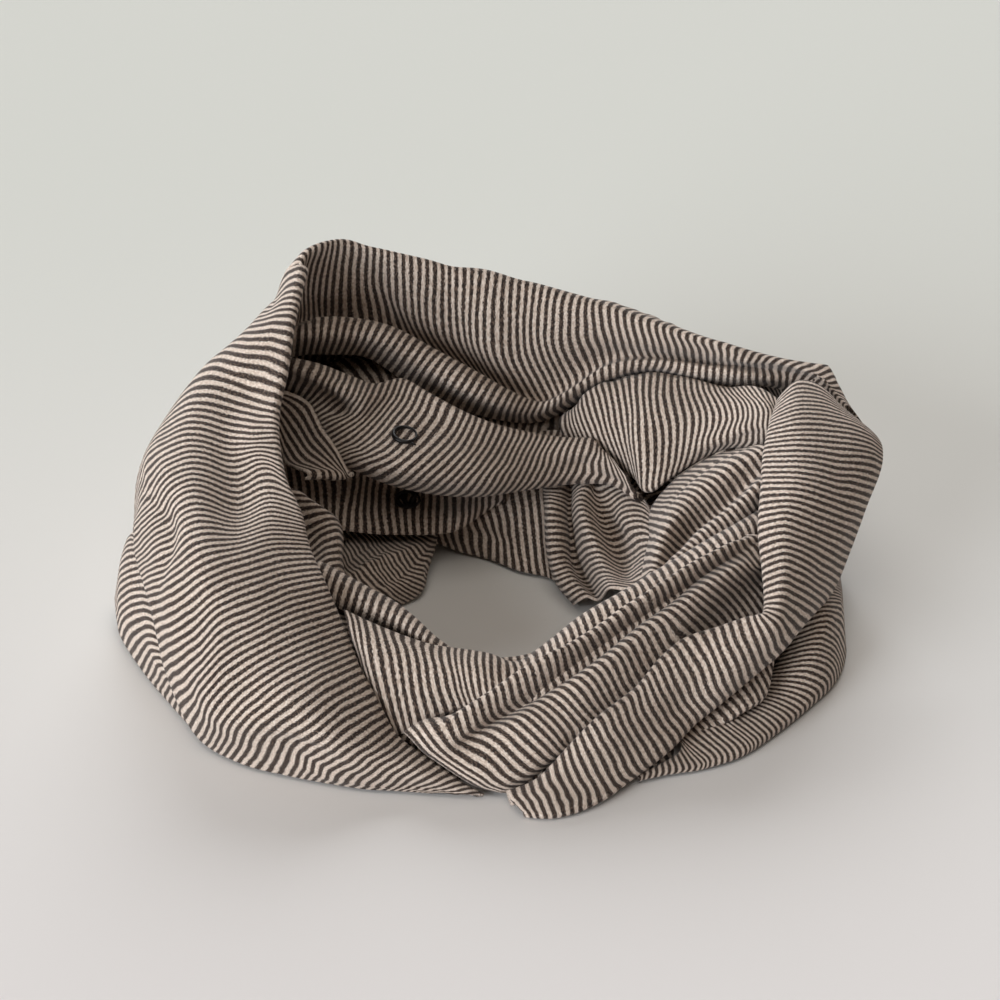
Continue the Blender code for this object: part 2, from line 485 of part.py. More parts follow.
def lay_under(grid, above):
    """Draw a stretch in towards the middle of the ring, where cloth above it is in the way."""
    middle = ring_middle(grid)
    away = np.linalg.norm(grid - middle, axis=-1)
    out = unit(grid - middle)
    drop = np.zeros(away.shape)
    for place in np.ndindex(away.shape):
        ray = Vector(out[place])
        hit, face, _, far = above.ray_cast(Vector(middle[place] * MM), ray)
        if hit is None:
            continue
        slope = max(0.35, abs(face.dot(ray)))
        over = away[place] - (far / MM - LAY / slope)
        if 0 < over < REACH:
            drop[place] = over
    return grid - out * spread(drop)[..., None]


def wall_faces(rows, cols, side):
    """Faces of a closed wall round a grid: front, back and rim."""
    index = np.arange(rows * cols).reshape(rows, cols)
    front = np.stack([index[:-1, :-1], index[1:, :-1], index[1:, 1:], index[:-1, 1:]], axis=-1)
    front = front.reshape(-1, 4)[:, ::side]
    back = front[:, [0, 3, 2, 1]] + rows * cols
    rim = np.concatenate([index[:, 0], index[-1, 1:], index[-2::-1, -1], index[0, -2:0:-1]])
    after = np.roll(rim, -1)
    edge = np.stack([rim, rim + rows * cols, after + rows * cols, after], axis=-1)[:, ::side]
    return halves(np.concatenate([front, back, edge]))


def halves(quads):
    """Two triangles for each four-sided face."""
    quads = np.asarray(quads)
    return np.concatenate([quads[:, [0, 1, 2]], quads[:, [0, 2, 3]]]).tolist()


def wall_points(grid, side, thick=CLOTH):
    """Points of the front and back of the wall round a grid."""
    normals = unit(np.cross(np.gradient(grid, axis=0), np.gradient(grid, axis=1))) * side
    both = np.concatenate([grid + normals * thick / 2, grid - normals * thick / 2])
    return both.reshape(-1, 3) * MM


def tree_of(points, faces):
    return BVHTree.FromPolygons([Vector(p) for p in points], faces)


def ease(grid, side):
    """Open the folds that are tighter than the wall is thick, until the wall is clear of itself."""
    rows, cols = grid.shape[:2]
    faces = wall_faces(rows, cols, side)
    for _ in range(EASE_ROUNDS):
        wall = tree_of(wall_points(grid, side, CLOTH + GAP), faces)
        tight = np.zeros(rows * cols)
        for one, other in wall.overlap(wall):
            if one < other and not set(faces[one]) & set(faces[other]):
                tight[[i % (rows * cols) for i in faces[one] + faces[other]]] = 1
        if not tight.any():
            break
        share = around(tight.reshape(rows, cols)[..., None]) > 0
        grid = grid + np.where(share, 0.5, 0.0) * (around(grid) - grid)
    return grid


def settle(grid, side, above):
    """Lower the cells that still cross cloth above, a little at a time, until none does."""
    rows, cols = grid.shape[:2]
    faces = wall_faces(rows, cols, side)
    out = unit(grid - ring_middle(grid))
    for _ in range(SETTLE_ROUNDS):
        crossing = tree_of(wall_points(grid, side, CLOTH + 2 * GAP), faces).overlap(above)
        if not crossing:
            break
        drop = np.zeros(rows * cols)
        for mine, _ in crossing:
            drop[[i % (rows * cols) for i in faces[mine]]] = 0.5
        grid = grid - out * spread(drop.reshape(rows, cols))[..., None]
        grid[..., 2] = np.maximum(grid[..., 2], REST)
    return grid


def nestle(grid, side, above):
    """Move a stretch bodily towards the cloth above it, until the two all but touch."""
    own = wall_points(grid, side)
    hits = [above.find_nearest(Vector(p)) for p in own]
    nearest = min(range(len(own)), key=lambda i: hits[i][3])
    gap = hits[nearest][3] / MM
    if not NESTLED < gap < NESTLE_REACH:
        return grid
    way = (np.array(hits[nearest][0]) - own[nearest]) / MM
    grid = grid + way * (gap - NESTLED) / gap
    grid[..., 2] = np.maximum(grid[..., 2], REST)
    return grid


def core_ring(cloth):
    """The hidden layers as one rounded ring that fills the heap below the cloth, flat below."""
    angles = np.radians(np.arange(CORE_AROUND) * 360 / CORE_AROUND)
    turns = np.radians(np.arange(CORE_SIDES) * 360 / CORE_SIDES)
    outward = np.stack([np.cos(angles), np.sin(angles), 0 * angles], axis=-1)
    middle = on_line(outward, CORE_LINE)
    ray = outward[:, None] * np.cos(turns)[:, None] + np.array([0, 0, 1]) * np.sin(turns)[:, None]
    floor = middle[:, None, 2] / np.maximum(-ray[..., 2], 0.01)
    round_off = 1 / np.hypot(np.cos(turns) / CORE_WIDE, np.sin(turns) / CORE_HIGH)
    reach = np.minimum(round_off, floor)
    for i, k in np.ndindex(reach.shape):
        far = cloth.ray_cast(Vector(middle[i] * MM), Vector(ray[i, k]))[3]
        if far is not None:
            reach[i, k] = min(reach[i, k], far / MM - CORE_CLEAR)
    for _ in range(6):
        for axis in (0, 1):
            near = np.minimum(np.roll(reach, 1, axis=axis), np.roll(reach, -1, axis=axis))
            reach = np.minimum(reach, np.where(ray[..., 2] < -0.3, reach, near + CORE_EVEN))
    faces = []
    for i, k in np.ndindex(reach.shape):
        a, b = i, (i + 1) % CORE_AROUND
        c, d = k, (k + 1) % CORE_SIDES
        faces.append([a * CORE_SIDES + c, b * CORE_SIDES + c, b * CORE_SIDES + d, a * CORE_SIDES + d])
    faces = halves(faces)
    for _ in range(SETTLE_ROUNDS):
        points = (middle[:, None] + ray * reach[..., None]).reshape(-1, 3) * MM
        crossing = tree_of(points, faces).overlap(cloth)
        if not crossing:
            break
        for mine, _ in crossing:
            for i in faces[mine]:
                reach.flat[i] = max(CORE_THIN, reach.flat[i] - CORE_STEP)
    return points, faces


def ring_snap(place, cloth):
    """Points and faces of a flat metal ring that lies on the cloth nearest to a place."""
    spot, normal, _, _ = cloth.find_nearest(Vector(place) * MM)
    sideways = normal.cross(Vector((0, 0, 1))).normalized()
    upward = normal.cross(sideways).normalized()
    outer = SNAP_OUTER / 2
    inner = outer - SNAP_WIRE
    rim = []
    for k in range(SNAP_SIDES):
        a = 2 * math.pi * k / SNAP_SIDES
        rim.append(sideways * math.cos(a) + upward * math.sin(a))
    highest = 0.0
    for arm in rim:
        for radius in (inner, outer):
            start = spot + arm * radius * MM + normal * 10 * MM
            far = cloth.ray_cast(start, -normal)[3]
            if far is not None:
                highest = max(highest, 10 - far / MM)
    base = highest + GAP
    section = [(outer, base), (outer, base + SNAP_HEIGHT * 0.6),
               (outer - SNAP_WIRE * 0.4, base + SNAP_HEIGHT),
               (inner, base + SNAP_HEIGHT * 0.7), (inner, base)]
    points = [spot + (arm * radius + normal * height) * MM for arm in rim for radius, height in section]
    count = len(section)
    faces = []
    for k in range(SNAP_SIDES):
        after = (k + 1) % SNAP_SIDES
        for j in range(count):
            up = (j + 1) % count
            faces.append([k * count + j, after * count + j, after * count + up, k * count + up])
    return points, faces


def principled(name, color, roughness, metallic):
    material = bpy.data.materials.new(name)
    material.use_nodes = True
    shader = material.node_tree.nodes["Principled BSDF"]
    shader.inputs["Base Color"].default_value = color
    shader.inputs["Roughness"].default_value = roughness
    shader.inputs["Metallic"].default_value = metallic
    return material


def add_object(name, points, faces, material):
    mesh = bpy.data.meshes.new(name)
    placed_points = np.array(points) - np.array(HEAP_CENTRE) * MM
    mesh.from_pydata(placed_points.tolist(), [], faces)
    mesh.materials.append(material)
    mesh.shade_smooth()
    mesh.update()
    placed = bpy.data.objects.new(name, mesh)
    bpy.context.scene.collection.objects.link(placed)
    return placed


def back_outside(rim):
    """Crown, belly and foot below a rim point, on the outer side of the back."""
    rim = np.array(rim, float)
    angle = math.degrees(math.atan2(rim[1], rim[0]))
    foot_radius = np.interp(angle, [row[0] for row in BACK_OUTSIDE], [row[1] for row in BACK_OUTSIDE])
    belly_radius = np.interp(angle, [row[0] for row in BACK_OUTSIDE], [row[2] for row in BACK_OUTSIDE])
    out = unit(np.array([rim[0], rim[1], 0.0]))
    spare = max(12.0, belly_radius - np.linalg.norm(rim[:2]))
    crown = rim + out * 0.28 * spare - np.array([0, 0, 7])
    belly = out * belly_radius + np.array([0, 0, 0.45 * rim[2]])
    foot = out * foot_radius + np.array([0, 0, 1])
    return [tuple(crown), tuple(belly), tuple(foot)]


def whole_sections():
    """The tables, with the back's outer side added and the left panel joined on to it."""
    whole = {name: sections for name, sections, _, _, _ in STRETCHES}
    back = [row + back_outside(row[-1]) for row in BACK_WRAP]
    outer = np.array(back[-1][5:], float)
    seam = spline(outer, [2, 2, 2])
    onward = unit(np.array(LEFT_WRAP[0], float) - seam)
    seam = [tuple(p) for p in seam + onward * SEAM]
    whole["back_wrap"] = back
    whole["left_wrap"] = [seam] + LEFT_WRAP
    return whole


def main():
    for item in list(bpy.data.objects):
        bpy.data.objects.remove(item)
    cloth = principled("striped_jersey", STRIPED_JERSEY, 0.9, 0.0)
    sections = whole_sections()
    points, faces, walls = [], [], {}
    for name, _, first, last, under in STRETCHES:
        grid, side = sheet_grid(sections[name], first, last)
        grid = ease(grid, side)
        for upper in under:
            grid = lay_under(grid, walls[upper])
        if points:
            above = tree_of(points, faces)
            if under:
                grid = nestle(grid, side, above)
            grid = settle(grid, side, above)
        grid = ease(grid, side)
        own_points = wall_points(grid, side)
        own_faces = wall_faces(*grid.shape[:2], side)
        add_object(name, own_points, own_faces, cloth)
        walls[name] = tree_of(own_points, own_faces)
        faces += [[i + len(points) for i in face] for face in own_faces]
        points += own_points.tolist()
    core_points, core_faces = core_ring(tree_of(points, faces))
    add_object("hidden_layers", core_points, core_faces, cloth)
    metal = principled("black_metal", BLACK_METAL, 0.3, 1.0)
    for name, carrier, place in SNAPS:
        add_object(name, *ring_snap(place, walls[carrier]), metal)


main()
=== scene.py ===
"""Infinity scarf of striped jersey, wound twice and dropped on a pale floor: how it looks.

Each stretch of cloth that shows is a thin wall on its solid's form, with finer folds, creases, knit and
stripes.  Sizes are in millimetres, unless they say otherwise.  The tables of the stretches are measured
from the middle of the neck opening: a row for each section, which follows a stripe across the band, and a
point for each station.
"""
import math

import bpy
import numpy as np
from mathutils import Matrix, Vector
from mathutils.bvhtree import BVHTree


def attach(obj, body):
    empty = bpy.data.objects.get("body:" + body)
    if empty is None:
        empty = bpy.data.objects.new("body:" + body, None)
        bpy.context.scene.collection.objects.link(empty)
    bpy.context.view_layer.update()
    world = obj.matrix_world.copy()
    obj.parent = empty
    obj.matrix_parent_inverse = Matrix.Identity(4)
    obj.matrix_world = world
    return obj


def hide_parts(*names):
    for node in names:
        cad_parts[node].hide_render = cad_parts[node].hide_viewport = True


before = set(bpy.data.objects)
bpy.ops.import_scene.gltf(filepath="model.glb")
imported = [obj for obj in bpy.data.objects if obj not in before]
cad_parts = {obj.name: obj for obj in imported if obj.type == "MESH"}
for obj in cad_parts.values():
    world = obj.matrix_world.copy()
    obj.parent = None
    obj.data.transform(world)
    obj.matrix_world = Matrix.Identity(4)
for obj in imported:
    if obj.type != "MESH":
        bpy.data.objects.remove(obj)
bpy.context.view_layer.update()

MM = 0.001
TINY = 1e-9            # keeps a division clear of zero
SHORTEST = 1e-3        # shortest span of a curve
CLOTH = 1.2            # thickness of the wall of cloth
GAP = 0.3              # clear space kept between two pieces
LAY = 1.3              # an upper stretch and the one below it: from mid wall to face
REACH = 9.0            # a stretch further out than this above another is left where it is
STEEP = 0.35           # least cosine between a ray and the cloth above, when a stretch is drawn in
NESTLED = 0.6          # nearest face of the cloth above a stretch
NESTLE_REACH = 4.0     # a stretch further off than this is left where it is
REST = 0.9             # mid wall height of a foot that lies on the surface
EASE_ROUNDS = 30
EASE_SHARE = 0.5       # of the way to its neighbours' mean that a tight point moves in a round
SETTLE_ROUNDS = 30
SETTLE_STEP = 0.5      # crossing cloth is lowered by this in a round
SEAM = 1.0             # gap where the left panel is sewn to the back
SEAM_SPLIT = 2         # spans of the back's outer side are split into this many at the seam
TURN_STEPS = 6         # facets round a turned edge
CELL = 4.2             # cells in which the cloth is laid
FINE = 2               # each cell is split this many times for the creases
CREASE_STEPS = 8       # steps in each half of a crease
CREASE_END = 0.04      # share of a crease, at each end, over which it no longer fades

HEAP_CENTRE = (4.7, 7.7, 0)  # middle of the heap's footprint, from the middle of the neck opening

# Hidden layers
CORE_AROUND = 120      # facets around the neck opening
CORE_SIDES = 32        # facets around their own section
CORE_WIDE = 41.0       # widest half section, sideways
CORE_HIGH = 58.0       # widest half section, upwards
CORE_EVEN = 2.0        # most that neighbouring points differ by
CORE_THIN = 3.0        # thinnest half section
CORE_CLEAR = 1.2       # clear space under the cloth, along a ray
CORE_STEP = 0.5        # drawn in by this while they touch cloth
CORE_ROUNDS = 6        # rounds in which they are evened out
CORE_BELOW = 0.3       # rays that fall faster than this keep their length
CORE_LEVEL = 0.01      # rays that fall slower than this count as level
CORE_KNIT = (0.1, 0.01)  # radius of their knit and its width for a facet, in metres

# Outer side of the back, under its rim: where its points lie
BACK_OUT = 12.0        # least way out from the rim to the belly
CROWN_OUT = 0.28       # share of that way, to the crown
CROWN_DROP = 7.0       # crown below the rim
BELLY_UP = 0.45        # height of the belly, as a share of the rim's
FOOT_UP = 1.0          # mid wall height of the foot

CAMERA_FAR = 1450.0    # from the middle of the neck opening, along the line of sight
CAMERA_RISE = 33.0     # of the line of sight over the surface, in degrees
VIEW_RIGHT = 6.3       # middle of the view, to the right of the middle of the neck opening
VIEW_UP = 55.86        # and above it, square to the line of sight
LENS = 124.3
FILM = 36.0

FLOOR = 4.0            # half its side, in metres
SKY = (1.0, 0.76, 0.57, 1)
SKY_STRENGTH = 0.1

# Middle line of the wound ring: angle from +X in degrees, radius, height
RING_MIDDLE = [
    (0, 120, 24), (45, 118, 34), (90, 108, 42), (135, 108, 48), (180, 108, 38),
    (225, 98, 16), (270, 96, 7), (315, 100, 8), (335, 115, 14), (360, 120, 24),
]

# Middle line of the hidden ring: angle, radius, height
CORE_LINE = [
    (0, 118, 24), (45, 118, 26), (90, 106, 26), (135, 108, 26), (180, 108, 26), (225, 96, 20),
    (255, 84, 13), (300, 82, 14), (330, 92, 14), (360, 118, 24),
]

# Outer side of the back, which falls from the rim to the surface: angle, foot radius, belly radius
BACK_OUTSIDE = [
    (0, 156, 161), (45, 158, 163), (70, 148, 146), (90, 142, 136), (115, 150, 143),
    (130, 158, 150), (150, 158, 152), (180, 153, 152),
]

# Back of the heap, right to left.  The inner face drops from the rim to a crease, rolls forward
# and hangs free.
# lip, roll, brow, crease, mid, rim
BACK_WRAP = [
    [(147,50,66), (148,49,69), (149,49,72), (151,48,75), (153,46,78), (156,44,80)],
    [(143,60,66), (144,59,70), (145,59,74), (147,58,77), (149,56,82), (150,54,84)],
    [(133,80,68), (134,77,73), (134,75,78), (136,77,80), (138,74,84), (142,72,96)],
    [(124,87,69), (123,80,74), (122,76,79), (122,83,80), (121,76,86), (121,76,94)],
    [(108,86,69), (108,78,76), (108,75,82), (109,83,81), (108,77,88), (109,78,93)],
    [(92,87,70), (93,80,78), (93,80,82), (94,91,77), (93,85,87), (91,84,94)],
    [(72,91,74), (72,86,79), (73,85,82), (74,96,77), (71,90,89), (69,92,98)],
    [(55,95,66), (53,85,76), (53,86,79), (55,101,73), (51,95,89), (49,98,102)],
    [(39,94,56), (36,84,65), (36,82,69), (38,98,62), (30,96,86), (32,101,106)],
    [(24,89,50), (22,82,58), (24,83,62), (25,93,57), (15,96,80), (15,104,110)],
    [(6,84,54), (8,74,67), (11,80,69), (12,96,58), (1,96,82), (2,105,113)],
    [(-13,85,60), (-8,73,76), (-4,81,78), (-2,104,62), (-14,101,84), (-15,105,117)],
    [(-32,90,68), (-26,80,84), (-22,85,87), (-21,109,69), (-31,105,92), (-32,106,121)],
    [(-51,90,82), (-45,81,96), (-42,89,97), (-42,111,80), (-46,109,106), (-46,106,125)],
    [(-66,89,84), (-63,83,97), (-62,94,98), (-63,113,84), (-62,106,110), (-60,106,129)],
    [(-77,89,84), (-75,83,97), (-75,93,98), (-76,109,86), (-74,101,113), (-70,97,132)],
    [(-84,87,84), (-83,83,97), (-83,91,98), (-80,104,87), (-78,98,113), (-75,93,131)],
    [(-88,84,85), (-88,82,96), (-88,87,97), (-84,97,88), (-80,92,111), (-78,88,128)],
]

# Broad outer panel on the left, from the peak round to the front.  It starts at the last section
# of the back.
# ridge, crown, dip, crest, flank, belly, foot
LEFT_WRAP = [
    [(-80,73,125), (-83,76,122), (-87,83,114), (-91,92,106), (-103,100,84), (-116,104,48), (-121,106,1)],
    [(-82,56,119), (-87,59,117), (-94,65,112), (-100,75,104), (-109,83,85), (-123,89,46), (-128,90,1)],
    [(-84,33,109), (-91,39,108), (-101,46,106), (-111,58,100), (-117,67,91), (-136,68,52), (-141,66,1)],
    [(-87,19,101), (-94,27,99), (-105,35,98), (-117,41,96), (-127,48,86), (-143,50,55), (-149,48,2)],
    [(-86,3,94), (-93,4,93), (-104,11,90), (-121,15,91), (-132,20,82), (-141,27,70), (-149,32,20)],
    [(-82,-13,87), (-88,-8,88), (-100,-9,83), (-118,-8,87), (-130,-8,79), (-138,-5,67), (-144,3,54)],
    [(-76,-26,81), (-86,-23,83), (-99,-24,78), (-116,-24,84), (-126,-22,75), (-135,-19,64), (-143,-11,50)],
    [(-71,-40,70), (-83,-46,74), (-96,-54,75), (-109,-60,74), (-118,-59,66), (-126,-55,58), (-135,-42,46)],
    [(-65,-53,63), (-77,-61,65), (-90,-70,65), (-103,-74,61), (-111,-74,52), (-120,-71,42), (-129,-58,27)],
    [(-57,-62,47), (-71,-76,50), (-86,-84,47), (-98,-87,39), (-108,-89,28), (-111,-86,17), (-115,-78,5)],
    [(-50,-75,36), (-60,-89,40), (-72,-100,38), (-81,-101,31), (-89,-99,22), (-93,-94,10), (-97,-92,2)],
    [(-43,-87,29), (-53,-99,31), (-62,-107,28), (-69,-104,20), (-73,-101,15), (-75,-101,8), (-78,-100,2)],
    [(-35,-96,18), (-41,-105,19), (-48,-109,17), (-53,-109,12), (-57,-108,9), (-59,-107,5), (-61,-105,2)],
    [(-22,-104,12), (-27,-109,12), (-32,-110,9), (-35,-110,6), (-37,-110,4), (-38,-110,3), (-39,-110,2)],
    [(-9,-110,5), (-13,-112,5), (-16,-111,4), (-18,-110,3), (-20,-111,3), (-22,-110,2), (-23,-110,2)],
    [(1,-115,3), (-2,-115,3), (-4,-115,3), (-6,-115,2), (-8,-115,2), (-10,-115,2), (-11,-115,2)],
]

# Outer panel on the right, from the back corner down to the front tip.
# ridge, upper, middle, outer, hem
RIGHT_WRAP = [
    [(123,48,86), (131,57,89), (140,57,87), (149,48,82), (158,43,76)],
    [(119,29,85), (128,28,89), (141,33,86), (154,35,81), (164,36,73)],
    [(116,14,81), (127,9,85), (141,12,82), (155,19,76), (165,30,66)],
    [(114,-5,76), (126,-11,80), (140,-8,74), (152,2,64), (158,15,54)],
    [(112,-24,69), (121,-26,73), (132,-24,67), (144,-14,55), (151,1,42)],
    [(113,-42,61), (120,-42,64), (128,-40,59), (137,-30,46), (143,-15,32)],
    [(113,-55,55), (118,-57,57), (124,-52,51), (131,-42,40), (133,-33,32)],
    [(112,-64,53), (115,-66,51), (118,-64,44), (121,-57,34), (120,-50,28)],
    [(105,-64,51), (107,-70,47), (110,-69,38), (113,-63,29), (111,-58,24)],
    [(93,-67,48), (96,-74,43), (100,-75,34), (102,-71,25), (103,-65,20)],
    [(81,-71,45), (86,-76,38), (90,-78,28), (94,-75,19), (93,-70,14)],
    [(71,-78,40), (74,-82,34), (79,-81,23), (84,-81,14), (83,-78,10)],
    [(61,-88,33), (63,-92,28), (68,-93,19), (73,-94,10), (72,-92,7)],
    [(45,-101,28), (48,-105,24), (52,-106,16), (56,-108,8), (58,-107,6)],
    [(32,-108,18), (33,-112,15), (35,-115,11), (38,-119,7), (39,-122,5)],
    [(20,-114,9), (21,-119,9), (23,-122,8), (24,-125,6), (25,-127,4)],
    [(9,-117,6), (10,-120,6), (11,-121,5), (13,-124,5), (15,-126,4)],
]

# Sheet over the front, from the front tip up to the right: a thin roll, a deep valley, a broad roll.
# edge, roll, slope, valley, crest, low, end
FRONT_SHEET = [
    [(-31,-97,20), (-28,-101,20), (-24,-104,17), (-20,-105,14), (-6,-111,7), (1,-112,4), (7,-115,3)],
    [(-23,-97,26), (-20,-104,26), (-16,-107,22), (-12,-107,17), (0,-112,11), (6,-114,7), (11,-115,4)],
    [(-11,-94,27), (-9,-99,32), (-7,-104,27), (-4,-100,22), (3,-105,22), (18,-112,11), (22,-110,8)],
    [(1,-89,32), (3,-94,38), (4,-96,31), (8,-93,25), (15,-101,30), (31,-107,17), (33,-101,14)],
    [(12,-84,38), (14,-89,44), (16,-90,36), (19,-88,29), (25,-95,35), (42,-102,22), (45,-91,18)],
    [(25,-79,44), (27,-84,50), (29,-83,41), (31,-81,33), (37,-91,42), (54,-92,27), (57,-79,22)],
    [(38,-73,49), (40,-78,55), (42,-74,45), (45,-71,38), (51,-83,48), (66,-82,32), (68,-75,26)],
    [(53,-63,54), (55,-68,60), (57,-65,51), (59,-59,43), (65,-70,53), (79,-67,36), (84,-61,28)],
    [(67,-52,57), (69,-57,63), (71,-55,56), (73,-50,49), (78,-61,57), (91,-53,39), (97,-51,30)],
    [(81,-41,61), (83,-46,66), (85,-45,61), (87,-40,55), (91,-50,61), (103,-42,43), (110,-45,32)],
    [(96,-31,63), (97,-36,68), (99,-34,63), (100,-31,59), (104,-40,63), (113,-31,46), (121,-36,36)],
    [(113,-13,67), (114,-22,69), (116,-19,64), (117,-15,60), (121,-26,65), (124,-19,49), (128,-26,40)],
]

# Pale panel between the left ridge and the front sheet; to the right it narrows to a thin roll.
# inner, crest, bend, slope, low
FRONT_TUCK = [
    [(-56,-55,50), (-54,-62,47), (-51,-67,39), (-47,-75,30), (-42,-84,20)],
    [(-49,-58,48), (-47,-66,46), (-45,-75,41), (-41,-83,29), (-36,-92,18)],
    [(-35,-64,45), (-34,-69,44), (-32,-76,42), (-30,-83,31), (-27,-92,19)],
    [(-21,-68,42), (-21,-73,42), (-20,-78,40), (-18,-84,32), (-15,-88,23)],
    [(-10,-68,40), (-10,-77,41), (-9,-81,39), (-7,-85,33), (-4,-87,26)],
    [(2,-70,39), (2,-79,42), (4,-85,42), (6,-87,35), (8,-86,29)],
    [(12,-71,36), (14,-79,44), (16,-84,45), (17,-86,38), (18,-85,31)],
    [(25,-63,40), (26,-74,50), (28,-78,51), (30,-80,43), (31,-78,35)],
    [(39,-52,45), (40,-64,55), (43,-69,56), (44,-71,48), (46,-69,39)],
    [(54,-44,50), (55,-55,60), (57,-60,61), (59,-62,53), (61,-60,44)],
    [(68,-34,54), (68,-46,64), (71,-52,65), (73,-53,57), (75,-50,49)],
    [(85,-22,58), (86,-34,67), (87,-40,68), (89,-40,60), (92,-37,52)],
    [(100,-12,61), (101,-24,69), (102,-30,70), (104,-29,62), (106,-25,54)],
    [(115,0,63), (116,-10,70), (116,-16,71), (118,-15,63), (120,-11,55)],
]

# Roll round the front of the neck opening, from the left wall to the right.
# foot, wall, contour, crest, crease
FRONT_ROLL = [
    [(-62,-18,2), (-62,-26,34), (-67,-31,57), (-68,-38,58), (-69,-42,50)],
    [(-54,-30,2), (-54,-32,30), (-56,-35,53), (-58,-45,54), (-60,-48,47)],
    [(-46,-36,2), (-46,-38,28), (-47,-38,49), (-49,-49,50), (-51,-49,43)],
    [(-37,-42,2), (-37,-43,26), (-37,-43,46), (-39,-53,47), (-41,-53,40)],
    [(-28,-49,2), (-28,-50,24), (-28,-52,44), (-30,-60,44), (-30,-59,39)],
    [(-19,-54,2), (-20,-55,22), (-20,-60,41), (-21,-66,42), (-21,-66,39)],
    [(-9,-57,2), (-10,-58,20), (-10,-66,38), (-11,-70,39), (-10,-70,37)],
    [(2,-58,2), (2,-59,20), (2,-68,36), (2,-72,37), (3,-71,35)],
    [(15,-56,2), (15,-57,20), (16,-64,34), (17,-70,34), (17,-74,30)],
    [(29,-50,2), (29,-52,22), (30,-58,36), (32,-63,38), (33,-67,34)],
    [(42,-42,2), (42,-44,24), (44,-49,40), (46,-53,42), (48,-57,38)],
    [(54,-32,2), (54,-34,26), (57,-38,44), (59,-42,47), (61,-46,43)],
]

# Small pointed flap on the inner left; its stripes run along it, so a row is a long line.
# root, neck, upper, middle, lower, tip
SMALL_FLAP = [
    [(-92,58,86), (-83,61,81), (-75,62,76), (-69,52,70), (-62,38,67), (-57,30,61)],
    [(-92,60,82), (-85,62,77), (-78,60,71), (-72,50,65), (-65,38,64), (-59,31,60)],
    [(-91,58,79), (-88,60,73), (-82,58,65), (-75,47,60), (-68,36,61), (-63,30,61)],
    [(-92,57,75), (-89,58,68), (-85,54,60), (-80,43,58), (-74,35,60), (-69,31,61)],
    [(-92,55,69), (-89,52,64), (-86,49,58), (-84,42,58), (-79,33,61), (-75,29,62)],
]

# Flap across the back that carries the upper snap.
# top, roll, under, middle, lower, edge
SNAP_FLAP = [
    [(-94,74,94), (-96,64,94), (-97,71,86), (-99,73,78), (-102,71,72), (-104,68,68)],
    [(-83,72,92), (-83,63,93), (-84,70,85), (-86,71,78), (-89,73,71), (-93,70,66)],
    [(-69,69,90), (-70,58,91), (-73,65,82), (-77,69,74), (-82,73,67), (-87,70,63)],
    [(-56,66,86), (-58,52,87), (-62,60,77), (-68,58,73), (-75,67,63), (-82,65,59)],
    [(-46,66,82), (-49,53,83), (-54,49,77), (-62,48,72), (-70,56,62), (-77,61,54)],
    [(-35,71,81), (-38,62,78), (-44,53,74), (-52,42,71), (-59,40,67), (-70,49,57)],
    [(-24,64,78), (-27,57,74), (-34,43,72), (-41,32,70), (-51,32,66), (-59,38,60)],
    [(-12,58,74), (-15,51,70), (-22,37,69), (-31,26,67), (-37,27,61), (-42,36,53)],
    [(1,57,68), (-2,49,64), (-8,36,63), (-15,29,59), (-20,32,52), (-24,40,45)],
    [(15,60,61), (12,54,57), (7,40,56), (3,36,52), (0,38,46), (-2,45,40)],
    [(31,65,55), (28,60,52), (26,53,49), (23,50,45), (20,50,41), (19,55,37)],
    [(47,66,54), (46,61,52), (44,62,45), (43,59,42), (41,59,39), (41,60,37)],
    [(57,60,53), (58,57,51), (57,56,47), (57,56,43), (56,55,41), (55,56,39)],
    [(63,49,46), (64,46,46), (64,46,44), (64,44,43), (65,44,42), (65,43,41)],
]

# Pouch that hangs in the right back corner.
# top, upper, middle, low, tip
POUCH = [
    [(30,86,60), (31,85,57), (32,81,53), (34,78,48), (36,76,42)],
    [(43,83,68), (44,79,64), (46,73,60), (49,68,54), (53,65,46)],
    [(54,86,74), (56,79,70), (57,69,65), (59,60,58), (64,52,44)],
    [(65,86,79), (65,76,73), (66,63,69), (66,51,61), (67,43,45)],
    [(76,85,78), (74,72,74), (74,61,70), (74,52,62), (72,41,48)],
    [(90,78,77), (90,68,74), (90,59,71), (87,52,63), (82,46,52)],
    [(102,70,78), (105,58,78), (103,52,73), (97,49,66), (93,51,56)],
    [(113,61,84), (117,45,83), (113,43,78), (108,44,71), (103,50,61)],
    [(124,50,87), (124,41,84), (121,37,80), (119,38,75), (117,42,66)],
]

# Roll just inside the left ridge.
# root, hollow, rise, crest, edge
INNER_LEFT_ROLL = [
    [(-95,13,70), (-87,10,70), (-82,11,68), (-79,13,64), (-77,19,58)],
    [(-93,6,64), (-85,12,60), (-78,10,63), (-73,10,60), (-71,18,52)],
    [(-90,0,58), (-81,12,50), (-73,12,56), (-67,9,57), (-64,16,49)],
    [(-87,-7,52), (-77,6,44), (-70,7,50), (-64,6,53), (-61,13,45)],
    [(-83,-16,49), (-73,-5,43), (-67,-2,47), (-62,-2,49), (-60,7,41)],
    [(-79,-25,46), (-70,-15,44), (-65,-13,47), (-61,-10,46), (-60,0,37)],
    [(-75,-32,44), (-69,-28,44), (-66,-27,45), (-62,-20,43), (-59,-9,34)],
]

